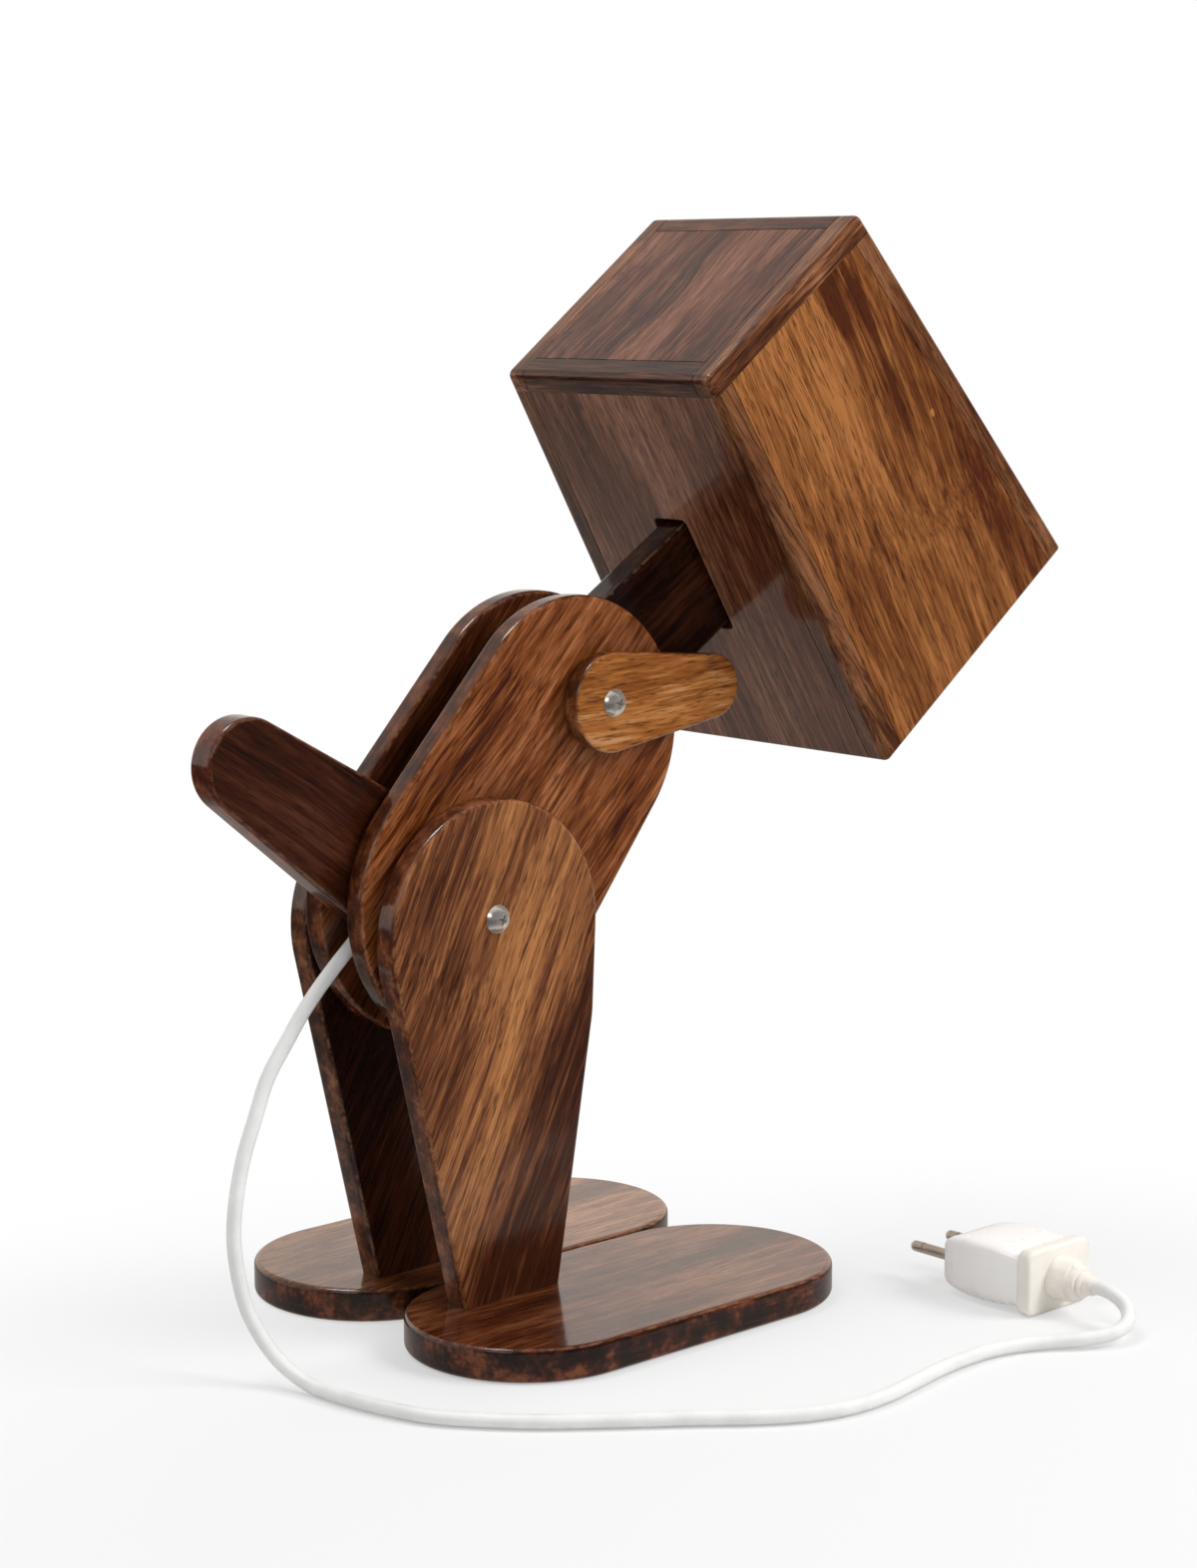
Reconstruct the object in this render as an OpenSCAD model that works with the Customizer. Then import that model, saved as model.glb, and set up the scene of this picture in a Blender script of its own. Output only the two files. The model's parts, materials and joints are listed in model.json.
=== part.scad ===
// Desk lamp in the shape of a standing robot, made of flat boards that pivot on two through bolts.
// X points the way the figure faces, Y to its left, Z up. The floor is Z = 0.

/* [Feet] */
// Length of a foot from heel to toe
foot_length = 175; // [140:1:220]
// Width of a foot
foot_width = 86; // [70:1:100]
// Thickness of a foot board
foot_thickness = 12; // [9:0.5:18]
// Gap between the two feet
foot_gap = 1; // [0.6:0.1:10]
// Distance from the hip axis back to the heel
heel_reach = 43; // [35:1:60]

/* [Legs] */
// Height of the hip axis above the floor
hip_height = 147; // [125:1:180]
// Thickness of a leg board
leg_thickness = 10; // [8:0.5:14]
// Radius of the round top of a leg
leg_head_radius = 46; // [38:0.5:50]
// How far the hip bolt sits above the centre of that round
hip_rise = 4.5; // [0:0.5:10]
// Radius of the swell at the front of the thigh
thigh_radius = 40; // [30:0.5:44]
// Height of the centre of that swell below the hip axis
thigh_drop = 35; // [25:1:45]
// Distance from the hip axis forward to the centre of that swell
thigh_reach = 4.5; // [0:0.5:8]
// Distance from the hip axis back to the ankle's rear edge
ankle_back = 16.5; // [10:0.5:25]
// Distance from the hip axis forward to the ankle's front edge
ankle_front = 27.5; // [18:0.5:35]

/* [Torso] */
// Thickness of a side plate
plate_thickness = 9; // [7:0.5:12]
// Clear gap between the two side plates
plate_gap = 14; // [12:0.5:20]
// Radius of the lower round of a side plate
plate_low_radius = 51.5; // [45:0.5:56]
// Radius of the upper round of a side plate
plate_top_radius = 48.5; // [42:0.5:54]
// Distance from the hip axis to the shoulder axis
bolt_spacing = 90.3; // [80:0.1:110]
// Lean of the torso above the horizontal
torso_lean = 49.7; // [40:0.1:80]
// Distance from the hip axis up to the centre of the lower round
low_round_inset = 5.3; // [0:0.1:12]
// Distance from the shoulder axis down to the centre of the upper round
top_round_inset = 14.6; // [5:0.1:20]
// How far the two bolts sit in front of the plates' centre line
bolt_offset = 1.2; // [0:0.1:4]

/* [Arms] */
// Thickness of an arm
arm_thickness = 7; // [5:0.5:10]
// Radius of an arm's shoulder end
arm_shoulder_radius = 18; // [14:0.5:22]
// Radius of an arm's hand end
arm_hand_radius = 11.7; // [8:0.1:13]
// Distance between the centres of those two rounds
arm_reach = 49.5; // [40:0.5:50]
// Lift of the arms above the horizontal
arm_lift = 2; // [-10:1:20]

/* [Tail] */
// Thickness of the tail
tail_thickness = 12; // [10:0.5:12]
// Radius of the tail's outline around the hip axis
tail_root_radius = 26; // [24:0.5:28]
// Radius of the tail's tip
tail_tip_radius = 16.7; // [14:0.1:20]
// Distance from the hip axis to the centre of the tip
tail_reach = 103.6; // [90:0.1:120]
// Lift of the tail above the horizontal
tail_lift = 34.5; // [32:0.5:40]
// Radius of the tail's hub where the switch leaves it room
tail_hub_radius = 14; // [11:0.5:14.5]

/* [Neck] */
// Thickness of the neck board
neck_thickness = 12; // [10:0.5:12]
// Width of the neck board
neck_width = 45; // [36:0.5:46]
// Lift of the neck above the horizontal
neck_lift = 33; // [25:0.5:40]
// Distance from the shoulder axis to the head's underside
neck_reach = 73.5; // [70:0.5:90]
// Length of the neck inside the head
neck_inside = 26; // [24:0.5:28]
// Depth of the nodding pivot inside the head
nod_depth = 15; // [13:0.5:16]

/* [Head] */
// Depth of the head from its back to its open front
head_depth = 164.5; // [140:0.5:180]
// Height of the head at its back
back_height = 94; // [84:0.5:100]
// Width of the head at its back
back_width = 107.5; // [98:0.1:119]
// Height of the head at its front
front_height = 121; // [105:0.5:130]
// Width of the head at its front
front_width = 119.8; // [108:0.1:135]
// How far the centre of the front lies below that of the back
front_drop = 3.9; // [1:0.1:8]
// Tilt of the head's depth below the horizontal
head_tilt = 52.6; // [46:0.1:56]
// Thickness of the head's panels
panel_thickness = 7; // [5:0.5:8]
// Width of the corner posts
post_width = 9; // [8:0.5:12]
// Thickness of the rails that frame the back
rail_thickness = 8; // [7:0.5:12]
// Distance from the head's back to the middle of the neck slot
slot_place = 85.5; // [78:0.5:95]
// Length of the neck slot
slot_length = 49; // [49:0.5:54]
// Width of the neck slot
slot_width = 17; // [15:0.5:18]

/* [Bolts] */
// Radius of the two through bolts
bolt_radius = 3; // [2.5:0.1:3.2]
// Radius of a bolt's domed head
bolt_head_radius = 5.1; // [4.6:0.1:6]
// Height of a bolt's domed head
bolt_head_height = 3.2; // [2.4:0.1:3.6]
// Outer radius of the sleeve of a sleeve nut
sleeve_radius = 4.2; // [4:0.1:4.6]
// Radius of the washers
washer_radius = 9; // [7:0.5:11]
// Thickness of the washers between legs and plates
hip_washer = 3; // [1:0.5:4]
// Thickness of the washers between plates and arms
arm_washer = 1.5; // [0.5:0.5:3]
// Radius of the nodding pivot
pivot_radius = 2.5; // [2:0.1:3]
// Radial clearance of every bolt in its bore
bore_play = 0.05; // [0.02:0.01:0.1]

/* [Switch] */
// Length of the switch housing along the cord
switch_length = 18; // [16:0.5:18]
// Height of the switch housing across the cord
switch_height = 14; // [12:0.5:14]
// Distance from the hip axis to the cord's line
switch_offset = 20.5; // [20.5:0.1:22]
// Rise of the cord's line towards the inside of the torso
switch_rise = 40; // [38:1:42]
// Travel of the switch plunger
plunger_travel = 1.2; // [0.8:0.1:1.5]

/* [Light] */
// Radius of the bulb's globe
globe_radius = 22.5; // [18:0.5:23]
// Distance from the back panel to the middle of the globe
globe_place = 74; // [70:1:90]
// Radius of the lamp holder
holder_radius = 14; // [12.5:0.5:16]
// Length of the lamp holder
holder_length = 42; // [38:1:45]

/* [Plug and cord] */
// Diameter of the cord
cord_diameter = 5; // [4.6:0.1:5.4]
// Distance between the two plug pins
pin_spacing = 19; // [17.5:0.1:19.2]
// Length of a plug pin
pin_length = 19; // [18:0.5:19]
// Radius of a plug pin
pin_radius = 2; // [1.9:0.05:2.4]

/* [Hidden] */

// Rounding of the boards' edges, and of the head's corners at its back and its front
board_edge = 2;
arm_edge = 1.6;
back_edge = 3;
front_edge = 1.5;

// Clearance between faces that slide past each other, and an allowance for cutting right through
slide = 0.3;
over = 1;

// Places of the shoulder and of the neck slot, measured from the hip axis
shoulder_x = bolt_spacing * cos(torso_lean);
shoulder_z = bolt_spacing * sin(torso_lean);
slot_x = shoulder_x + neck_reach * cos(neck_lift);
slot_z = shoulder_z + neck_reach * sin(neck_lift);

// The head's underside slopes away from its depth by this angle
flare = atan((front_height / 2 + front_drop - back_height / 2) / head_depth);
slot_drop = back_height / 2 + slot_place * tan(flare);
head_x = slot_x - slot_place * cos(head_tilt) + slot_drop * sin(head_tilt);
head_z = slot_z + slot_place * sin(head_tilt) + slot_drop * cos(head_tilt);

// The origin lies on the floor, under the middle of the tail's tip and the head's front edge
brow_x = head_x + (head_depth - front_edge) * cos(head_tilt)
       + (front_height / 2 - front_drop - front_edge) * sin(head_tilt) + front_edge;
hip_x = (tail_reach * cos(tail_lift) + tail_tip_radius - brow_x) / 2;

// Distances of the faces along the bolts, from the middle plane outwards
plate_in = plate_gap / 2;
plate_out = plate_in + plate_thickness;
leg_in = plate_out + hip_washer;
leg_out = leg_in + leg_thickness;
arm_in = plate_out + arm_washer;
arm_out = arm_in + arm_thickness;
foot_in = foot_gap / 2;

// Feet and legs
foot_radius = foot_width / 2;
ankle_z = foot_thickness - hip_height;
ankle_round = 3;
foot_screw_radius = 2;
foot_screw_head = 4;
foot_screw_length = 35;
foot_screw_sink = 0.5;
foot_screw_places = [-4, 15];

// Bolts
bolt_end_gap = 2.5;
sleeve_floor = 2;
recess_length = 5.6;
recess_width = 1.1;
recess_depth = 1.8;

// Tail and the switch under its root
hub_relief = 0.2;
hub_half = tail_thickness / 2 - hub_relief;
stem_back = -6;
stem_front = 15.5;
stem_taper = 3.5;
stem_foot = 6;
stem_overlap = 8;
switch_inner = -7.3;
switch_outer = switch_inner - switch_length;
switch_top = switch_offset + switch_height / 2;
switch_base = switch_offset - switch_height / 2;
collar_radius = 4.5;
collar_length = 3;
plunger_radius = 2.5;
plunger_length = 9;
plunger_place = switch_inner - switch_length / 2;
plunger_bore = plunger_length + plunger_travel + slide;
dowel_radius = 1.25;
dowel_depth = 5;
dowel_inset = 3.2;
tail_rest = switch_top + slide;

// Neck, its groove for the lead and the nodding pivot
neck_round = neck_width / 2;
neck_length = neck_reach + neck_inside;
lead_radius = 1.4;
groove_width = 3.2;
lead_drop = 8;
lead_face = neck_thickness / 2 - groove_width / 2;
neck_slant = neck_lift + head_tilt + flare - 90;
nod_x = -nod_depth * tan(neck_slant);
pivot_on_neck = neck_reach + nod_depth / cos(neck_slant);
ear_in = slot_width / 2 + 0.5;
ear_thickness = 10;
ear_out = ear_in + ear_thickness;
ear_length = 34;
ear_base = panel_thickness * cos(flare);
ear_height = 6;
ear_lug = 7;
ear_screw_spacing = 11;
ear_screw_radius = 1.5;
ear_screw_length = 11;
small_head_radius = 2.8;
small_head_height = 1.8;
pivot_head_radius = 4.4;
pivot_head_height = 3.4;
pivot_nut_height = 4;
pivot_washer_radius = 6;
slot_round = 2.5;

// Light
holder_flange = 20;
flange_thickness = 4;
holder_bore = 7.3;
holder_socket = 27;
holder_screw_place = 17;
holder_screw_depth = 5;
holder_bead_place = 8;
holder_bead_length = 6;
holder_bead_rise = 1.5;
cap_radius = 7;
cap_length = 24;
contact_radius = 2.4;
contact_foot = 4.6;
contact_height = 1.6;
bulb_neck_radius = cap_radius + 4;
holder_front = panel_thickness + holder_length;
globe_x = panel_thickness + globe_place;
rim_radius = globe_radius - 1.5;
rim_x = globe_x - sqrt(globe_radius * globe_radius - rim_radius * rim_radius);

// Plug: where its strain relief ends, and its lengths towards the pins
plug_x = 85.5;
plug_y = -160;
plug_z = 12;
relief_length = 16;
relief_radius = 8;
relief_slot = 1.2;
relief_slot_depth = 2;
relief_taper = 0.8;
nose_length = 2;
nose_radius = 4.4;
nose_step = 1.4;
cover_length = 6;
cover_width = 34;
cover_round = 4;
plug_length = 37;
plug_width = 35;
plug_height = 22;
plug_round = 7;
plug_swell = 80;
plug_edge = 3;
swell_shift = 3;
plug_front = relief_length + cover_length + plug_length;
pin_root = 10;
pin_root_radius = pin_radius - 0.3;

// Cord: the drop from the switch, and the run along the floor to the plug
cord_radius = cord_diameter / 2;
cord_sides = 10;
lead_sides = 8;

// A direction that the cord, or a lead, never runs along, which keeps the rings of its tube in line
cord_aside = [1, 0, -1];
lead_aside = [0, 1, 0];

cord_drop_points = [[-124.5, 0, 134], [-132, 0, 127], [-139.5, 0, 119], [-146.5, 0, 110],
                    [-154.5, 0, 99], [-160.5, -1, 87], [-166.5, -2, 74], [-170.5, -3, 61],
                    [-172.5, -4, 48], [-172.5, -6, 36], [-171.5, -9, 25], [-169.5, -14, 16],
                    [-167.5, -21, 9], [-165.5, -30, 4.5], [-164, -40, 2.5]];
cord_run_points = [[-162.5, -52, 2.5], [-159.5, -65, 2.5], [-153.5, -82, 2.5], [-143.5, -96, 2.5],
                   [-131.5, -109, 2.5], [-117.5, -121, 2.5], [-103.5, -132, 2.5], [-89.5, -143, 2.5],
                   [-76.5, -154, 2.5], [-62.5, -163, 2.5], [-47.5, -168, 2.5], [-31.5, -168.5, 2.5],
                   [-15.5, -166, 2.5], [0.5, -163, 2.5], [16.5, -161.5, 2.5], [29.5, -162, 2.5],
                   [40.5, -165, 2.5], [50.5, -170.5, 2.8], [59.5, -177.5, 3.4], [68.5, -182, 4.6],
                   [76.5, -181.5, 6.2], [82.5, -177, 8.4], [85.1, -171, 10.6], [85.5, -165, 12]];

function from_hip(x, y, z) = [hip_x + x, y, hip_height + z];

function switch_point(x, z) = from_hip(x * cos(switch_rise) - z * sin(switch_rise), 0,
                                       x * sin(switch_rise) + z * cos(switch_rise));

cord_start = switch_point(switch_outer - collar_length, switch_offset);
cord_lead_in = switch_point(switch_outer - collar_length - cord_diameter, switch_offset);
cord_route = concat([cord_start, cord_lead_in], cord_drop_points, cord_run_points,
                    [[plug_x, plug_y, plug_z]]);
cord_split = len(cord_drop_points) + 1;

// Leads inside the torso, along the neck and inside the head
lead_exit = 7;
lead_exit_x = switch_outer + lead_exit;
torso_lead_route = concat([switch_point(lead_exit_x, switch_base - slide)],
                          [for (p = [[-19.5, -5.5], [-15, -11.5], [-8, -17], [1, -19], [10, -16.5],
                                     [16.5, -9.5], [19.5, -1], [21, 8], [23, 18], [26, 28], [32, 40],
                                     [39.5, 51.5]])
                             from_hip(p[0], 0, p[1])]);

function head_point(x, y, z) = from_hip(head_x + x * cos(head_tilt) + z * sin(head_tilt), y,
                                        head_z - x * sin(head_tilt) + z * cos(head_tilt));

head_lead_route = [for (p = [[64, 8, -27], [58, 9, -31], [50, 9.5, -31], [42, 9, -29], [34, 7, -25],
                             [28, 4, -21.5], [24.5, 2.2, -19], [23.6, 1.6, -14.4]])
                     head_point(p[0], p[1], p[2])];

// Half-width, top and underside of the head at a depth
function half_width(x) = back_width / 2 + (front_width - back_width) / 2 * x / head_depth;
function top_z(x) = back_height / 2 + (front_height / 2 - front_drop - back_height / 2) * x / head_depth;
function low_z(x) = -back_height / 2 - x * tan(flare);

// A width or a height counted inwards from the right or left side, or from the underside or top
function side_y(x, edge) = edge[0] * (half_width(x) - edge[1]);
function side_z(x, edge) = edge[0] > 0 ? top_z(x) - edge[1] : low_z(x) + edge[1];

function unit(v) = v / norm(v);
function heading(p, i) = unit(p[min(i + 1, len(p) - 1)] - p[max(i - 1, 0)]);
function ring(centre, along, aside, radius, sides) =
  let (u = unit(cross(along, aside)), v = cross(along, u))
  [for (k = [0:sides - 1]) centre + radius * (cos(360 * k / sides) * u + sin(360 * k / sides) * v)];

// Frames in which the sub-parts are drawn
module at_hip() {
  translate([hip_x, 0, hip_height])
    children();
}

module at_shoulder() {
  translate(from_hip(shoulder_x, 0, shoulder_z))
    children();
}

module along_torso() {
  at_hip() rotate([0, -torso_lean, 0])
    children();
}

module along_neck() {
  at_shoulder() rotate([0, -neck_lift, 0])
    children();
}

module along_switch() {
  at_hip() rotate([0, -switch_rise, 0])
    children();
}

module in_head() {
  translate(from_hip(head_x, 0, head_z)) rotate([0, head_tilt, 0])
    children();
}

module at_slot() {
  translate(from_hip(slot_x, 0, slot_z)) rotate([0, head_tilt + flare, 0])
    children();
}

module at_plug() {
  translate([plug_x, plug_y, plug_z]) rotate([-90, 0, 0])
    children();
}

// Drawn on the right and mirrored to the left, or the other way round
module both_sides() {
  children();
  mirror([0, 1, 0])
    children();
}

// Cylinder along Y between two distances from the middle plane
module rod(radius, from, to) {
  translate([0, to, 0]) rotate([90, 0, 0])
    cylinder(r = radius, h = to - from, $fn = 48);
}

module washer(radius, bore, from, to) {
  difference() {
    rod(radius, from, to);
    rod(bore, from - over, to + over);
  }
}

// Flat rectangle with round corners
module soft_rectangle(width, height, corner) {
  square([width - 2 * corner, height], center = true);
  square([width, height - 2 * corner], center = true);
  for (x = [-1, 1], y = [-1, 1])
    translate([x * (width / 2 - corner), y * (height / 2 - corner)])
      circle(r = corner, $fn = 16);
}

// Right half of the section of a disc with rounded edges
module soft_section(radius, thickness, edge) {
  intersection() {
    soft_rectangle(2 * radius, thickness, edge);
    translate([0, -thickness])
      square([radius + over, 2 * thickness]);
  }
}

module soft_disc(radius, thickness, edge) {
  rotate([90, 0, 0])
    rotate_extrude($fn = 48)
      soft_section(radius, thickness, edge);
}

// Board standing in the XZ plane with rounded edges, stretched over discs given as [x, z, radius]
module board(discs, thickness, edge) {
  hull()
    for (d = discs)
      translate([d[0], 0, d[1]])
        soft_disc(d[2], thickness, edge);
}

// Straight bar along X with rounded edges, ended by a half disc about the origin
module round_ended_bar(width, thickness, length, edge) {
  rotate([90, 0, 0]) rotate([0, 0, 90])
    rotate_extrude(angle = 180, $fn = 64)
      soft_section(width / 2, thickness, edge);
  rotate([0, 90, 0])
    linear_extrude(length)
      soft_rectangle(width, thickness, edge);
}

// Domed head whose flat side lies at y = 0, pointing to -Y, with a cross recess
module domed_head() {
  dome = (bolt_head_radius * bolt_head_radius + bolt_head_height * bolt_head_height)
       / (2 * bolt_head_height);
  difference() {
    translate([0, dome - bolt_head_height, 0])
      sphere(r = dome, $fn = 48);
    translate([-2 * dome, 0, -2 * dome])
      cube([4 * dome, 3 * dome, 4 * dome]);
    for (turn = [0, 90])
      rotate([0, turn, 0])
        translate([-recess_length / 2, -bolt_head_height - over, -recess_width / 2])
          cube([recess_length, recess_depth + over, recess_width]);
  }
}

// Bolt from the right, headed at one distance and ended short of the other
module through_bolt(reach) {
  translate([0, -reach, 0])
    domed_head();
  rod(bolt_radius, -reach, reach - bolt_end_gap);
}

// Sleeve nut on the left, whose barrel lines the outermost board
module sleeve_nut(reach, sleeve) {
  translate([0, reach, 0]) mirror([0, 1, 0])
    domed_head();
  difference() {
    rod(sleeve_radius, reach - sleeve, reach);
    rod(bolt_radius + bore_play, reach - sleeve - over, reach - sleeve_floor);
  }
}

// Part of the head's frustum between two depths, between widths and heights counted from its faces
module head_slab(depths, widths, heights) {
  polyhedron(
    points = [for (x = depths, y = widths, z = heights) [x, side_y(x, y), side_z(x, z)]],
    faces = [[0, 2, 3, 1], [4, 5, 7, 6], [0, 1, 5, 4], [2, 6, 7, 3], [0, 4, 6, 2], [1, 3, 7, 5]]);
}

// Outer form of the head with its rounded edges
module head_form() {
  hull()
    for (side = [-1, 1], level = [-1, 1], end = [0, 1]) {
      edge = end == 0 ? back_edge : front_edge;
      x = end == 0 ? edge : head_depth - edge;
      translate([x, side_y(x, [side, edge]), side_z(x, [level, edge])])
        sphere(r = edge, $fn = 20);
    }
}

module head_board(depths, widths, heights) {
  intersection() {
    head_form();
    head_slab(depths, widths, heights);
  }
}

// Screw with a low round head, pointing to -Z from the face at z = 0
module pan_screw(radius, length) {
  cylinder(r = small_head_radius, h = small_head_height, $fn = 32);
  translate([0, 0, -length])
    cylinder(r = radius, h = length + over / 2, $fn = 32);
}

// Round tube through points, with flat ends
module tube(route, first, last, aside, radius, sides) {
  count = last - first + 1;
  polyhedron(
    points = [for (i = [first:last]) each ring(route[i], heading(route, i), aside, radius, sides)],
    faces = concat([[for (k = [0:sides - 1]) k]],
                   [for (i = [0:count - 2], k = [0:sides - 1])
                      [i * sides + k, (i + 1) * sides + k, i * sides + (k + 1) % sides]],
                   [for (i = [0:count - 2], k = [0:sides - 1], next = [(k + 1) % sides])
                      [(i + 1) * sides + k, (i + 1) * sides + next, i * sides + next]],
                   [[for (k = [sides - 1:-1:0]) (count - 1) * sides + k]]));
}

// Feet
module foot(side) {
  color("#8a5a38")
    difference() {
      translate([hip_x - heel_reach + foot_radius, side * (foot_in + foot_radius), foot_thickness / 2])
        rotate([90, 0, 0])
          foot_board();
      foot_screw_holes(side);
    }
}

module foot_board() {
  straight = foot_length - foot_width;
  round_ended_bar(foot_width, foot_thickness, straight, board_edge);
  translate([straight, 0, 0]) rotate([0, 180, 0])
    rotate([90, 0, 0]) rotate([0, 0, 90])
      rotate_extrude(angle = 180, $fn = 64)
        soft_section(foot_radius, foot_thickness, board_edge);
}

module foot_screw_holes(side) {
  for (x = foot_screw_places)
    translate([hip_x + x, side * (leg_in + leg_thickness / 2), 0]) {
      translate([0, 0, -over])
        cylinder(r = foot_screw_radius + bore_play, h = foot_screw_length + 2 * over, $fn = 32);
      translate([0, 0, -over])
        cylinder(r = foot_screw_head + bore_play, h = foot_screw_sink + over, $fn = 32);
      translate([0, 0, foot_screw_sink])
        cylinder(r1 = foot_screw_head + bore_play, r2 = foot_screw_radius + bore_play,
                 h = foot_screw_head - foot_screw_radius, $fn = 32);
    }
}

module foot_screws(side) {
  color("silver")
    for (x = foot_screw_places)
      translate([hip_x + x, side * (leg_in + leg_thickness / 2), foot_screw_sink]) {
        cylinder(r1 = foot_screw_head, r2 = foot_screw_radius, h = foot_screw_head - foot_screw_radius,
                 $fn = 32);
        cylinder(r = foot_screw_radius, h = foot_screw_length - foot_screw_sink, $fn = 32);
      }
}

module right_foot() { foot(-1); }
module left_foot() { foot(1); }
module right_foot_screws() { foot_screws(-1); }
module left_foot_screws() { foot_screws(1); }

// Legs
module leg(side, bore) {
  color("#a0683a")
    difference() {
      at_hip() difference() {
        translate([0, side * (leg_in + leg_thickness / 2), 0])
          board([[0, -hip_rise, leg_head_radius],
                 [thigh_reach, -thigh_drop, thigh_radius],
                 [ankle_round - ankle_back, ankle_z, ankle_round],
                 [ankle_front - ankle_round, ankle_z, ankle_round]],
                leg_thickness, board_edge);
        translate([-2 * leg_head_radius, -2 * leg_out, ankle_z - 2 * leg_head_radius])
          cube([4 * leg_head_radius, 4 * leg_out, 2 * leg_head_radius]);
        rod(bore + bore_play, -leg_out - over, leg_out + over);
      }
      foot_screw_holes(side);
    }
}

module right_leg() { leg(-1, bolt_radius); }
module left_leg() { leg(1, sleeve_radius); }

// Hip bolt and its washers
module hip_bolt() {
  color("silver") at_hip()
    through_bolt(leg_out);
}

module hip_nut() {
  color("silver") at_hip()
    sleeve_nut(leg_out, leg_thickness);
}

module hip_washers() {
  color("dimgray") at_hip() both_sides()
    washer(washer_radius, bolt_radius + bore_play, plate_out, leg_in);
}

module tail_washers() {
  color("dimgray") at_hip() both_sides()
    washer(washer_radius, bolt_radius + bore_play, hub_half, plate_in);
}

// Torso
module side_plate(side) {
  color("#8a5030")
    along_torso() difference() {
      translate([0, side * (plate_in + plate_thickness / 2), 0])
        board([[low_round_inset, bolt_offset, plate_low_radius],
               [bolt_spacing - top_round_inset, bolt_offset, plate_top_radius]],
              plate_thickness, board_edge);
      for (x = [0, bolt_spacing])
        translate([x, 0, 0])
          rod(bolt_radius + bore_play, -plate_out - over, plate_out + over);
      rotate([0, torso_lean - switch_rise, 0])
        dowel_rods(dowel_radius + bore_play);
    }
}

module dowel_rods(radius) {
  for (x = [switch_outer + dowel_inset, switch_inner - dowel_inset])
    translate([x, 0, switch_base + dowel_inset])
      rod(radius, -plate_in - dowel_depth, plate_in + dowel_depth);
}

module right_side_plate() { side_plate(-1); }
module left_side_plate() { side_plate(1); }

module shoulder_bolt() {
  color("silver") at_shoulder()
    through_bolt(arm_out);
}

module shoulder_nut() {
  color("silver") at_shoulder()
    sleeve_nut(arm_out, arm_thickness);
}

module arm_washers() {
  color("dimgray") at_shoulder() both_sides()
    washer(washer_radius, bolt_radius + bore_play, plate_out, arm_in);
}

module neck_washers() {
  color("dimgray") at_shoulder() both_sides()
    washer(washer_radius, bolt_radius + bore_play, neck_thickness / 2, plate_in);
}

// Arms
module arm(side, bore) {
  color("#95592f")
    at_shoulder() difference() {
      rotate([0, -arm_lift, 0]) translate([0, side * (arm_in + arm_thickness / 2), 0])
        board([[0, 0, arm_shoulder_radius], [arm_reach, 0, arm_hand_radius]], arm_thickness, arm_edge);
      rod(bore + bore_play, -arm_out - over, arm_out + over);
    }
}

module right_arm() { arm(-1, bolt_radius); }
module left_arm() { arm(1, sleeve_radius); }

// Tail: its blade ends over the switch, and a stem joins it to the hub on the bolt
module tail() {
  color("#4a2a1c")
    along_switch() difference() {
      union() {
        difference() {
          rotate([0, tail_lift + switch_rise - 180, 0])
            board([[0, 0, tail_root_radius], [tail_reach, 0, tail_tip_radius]],
                  tail_thickness, board_edge);
          translate([-2 * tail_root_radius, -tail_thickness, tail_rest - 3 * tail_root_radius])
            cube([4 * tail_root_radius, 2 * tail_thickness, 3 * tail_root_radius]);
        }
        rotate([90, 0, 0]) translate([0, 0, -hub_half])
          linear_extrude(2 * hub_half) {
            circle(r = tail_hub_radius, $fn = 64);
            polygon([[stem_back, 0], [stem_back, tail_rest + stem_overlap],
                     [stem_front - stem_taper, tail_rest + stem_overlap],
                     [stem_front, tail_rest], [stem_front - stem_taper, stem_foot]]);
          }
      }
      rod(bolt_radius + bore_play, -tail_thickness, tail_thickness);
    }
}

// Switch under the tail's root
module switch_housing() {
  color("#202020")
    along_switch() difference() {
      union() {
        translate([switch_outer, -plate_in, switch_base])
          cube([switch_length, plate_gap, switch_height]);
        translate([switch_outer - collar_length, 0, switch_offset]) rotate([0, 90, 0])
          cylinder(r = collar_radius, h = collar_length, $fn = 48);
      }
      translate([plunger_place, 0, switch_top - plunger_bore])
        cylinder(r = plunger_radius + bore_play, h = plunger_bore + over, $fn = 32);
      dowel_rods(dowel_radius + bore_play);
    }
}

module switch_plunger() {
  color("#b03020")
    along_switch() translate([plunger_place, 0, switch_top - plunger_length])
      cylinder(r = plunger_radius, h = plunger_length, $fn = 32);
}

module switch_dowels() {
  color("silver")
    along_switch()
      dowel_rods(dowel_radius);
}

module torso_lead() {
  color("#202020")
    tube(torso_lead_route, 0, len(torso_lead_route) - 1, lead_aside, lead_radius, lead_sides);
}

// Neck
module neck() {
  color("#3a2018")
    along_neck() difference() {
      round_ended_bar(neck_width, neck_thickness, neck_length, board_edge);
      rod(bolt_radius + bore_play, -neck_thickness, neck_thickness);
      translate([pivot_on_neck, 0, 0])
        rod(pivot_radius + bore_play, -neck_thickness, neck_thickness);
      translate([-neck_width, neck_thickness / 2 - groove_width, -lead_drop - groove_width / 2])
        cube([neck_width + neck_length + over, groove_width + over, groove_width]);
    }
}

module neck_lead() {
  start = -sqrt(neck_round * neck_round - lead_drop * lead_drop) + 1;
  color("#202020")
    along_neck() translate([start, lead_face, -lead_drop]) rotate([0, 90, 0])
      cylinder(r = lead_radius, h = neck_length - start, $fn = 24);
}

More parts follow.
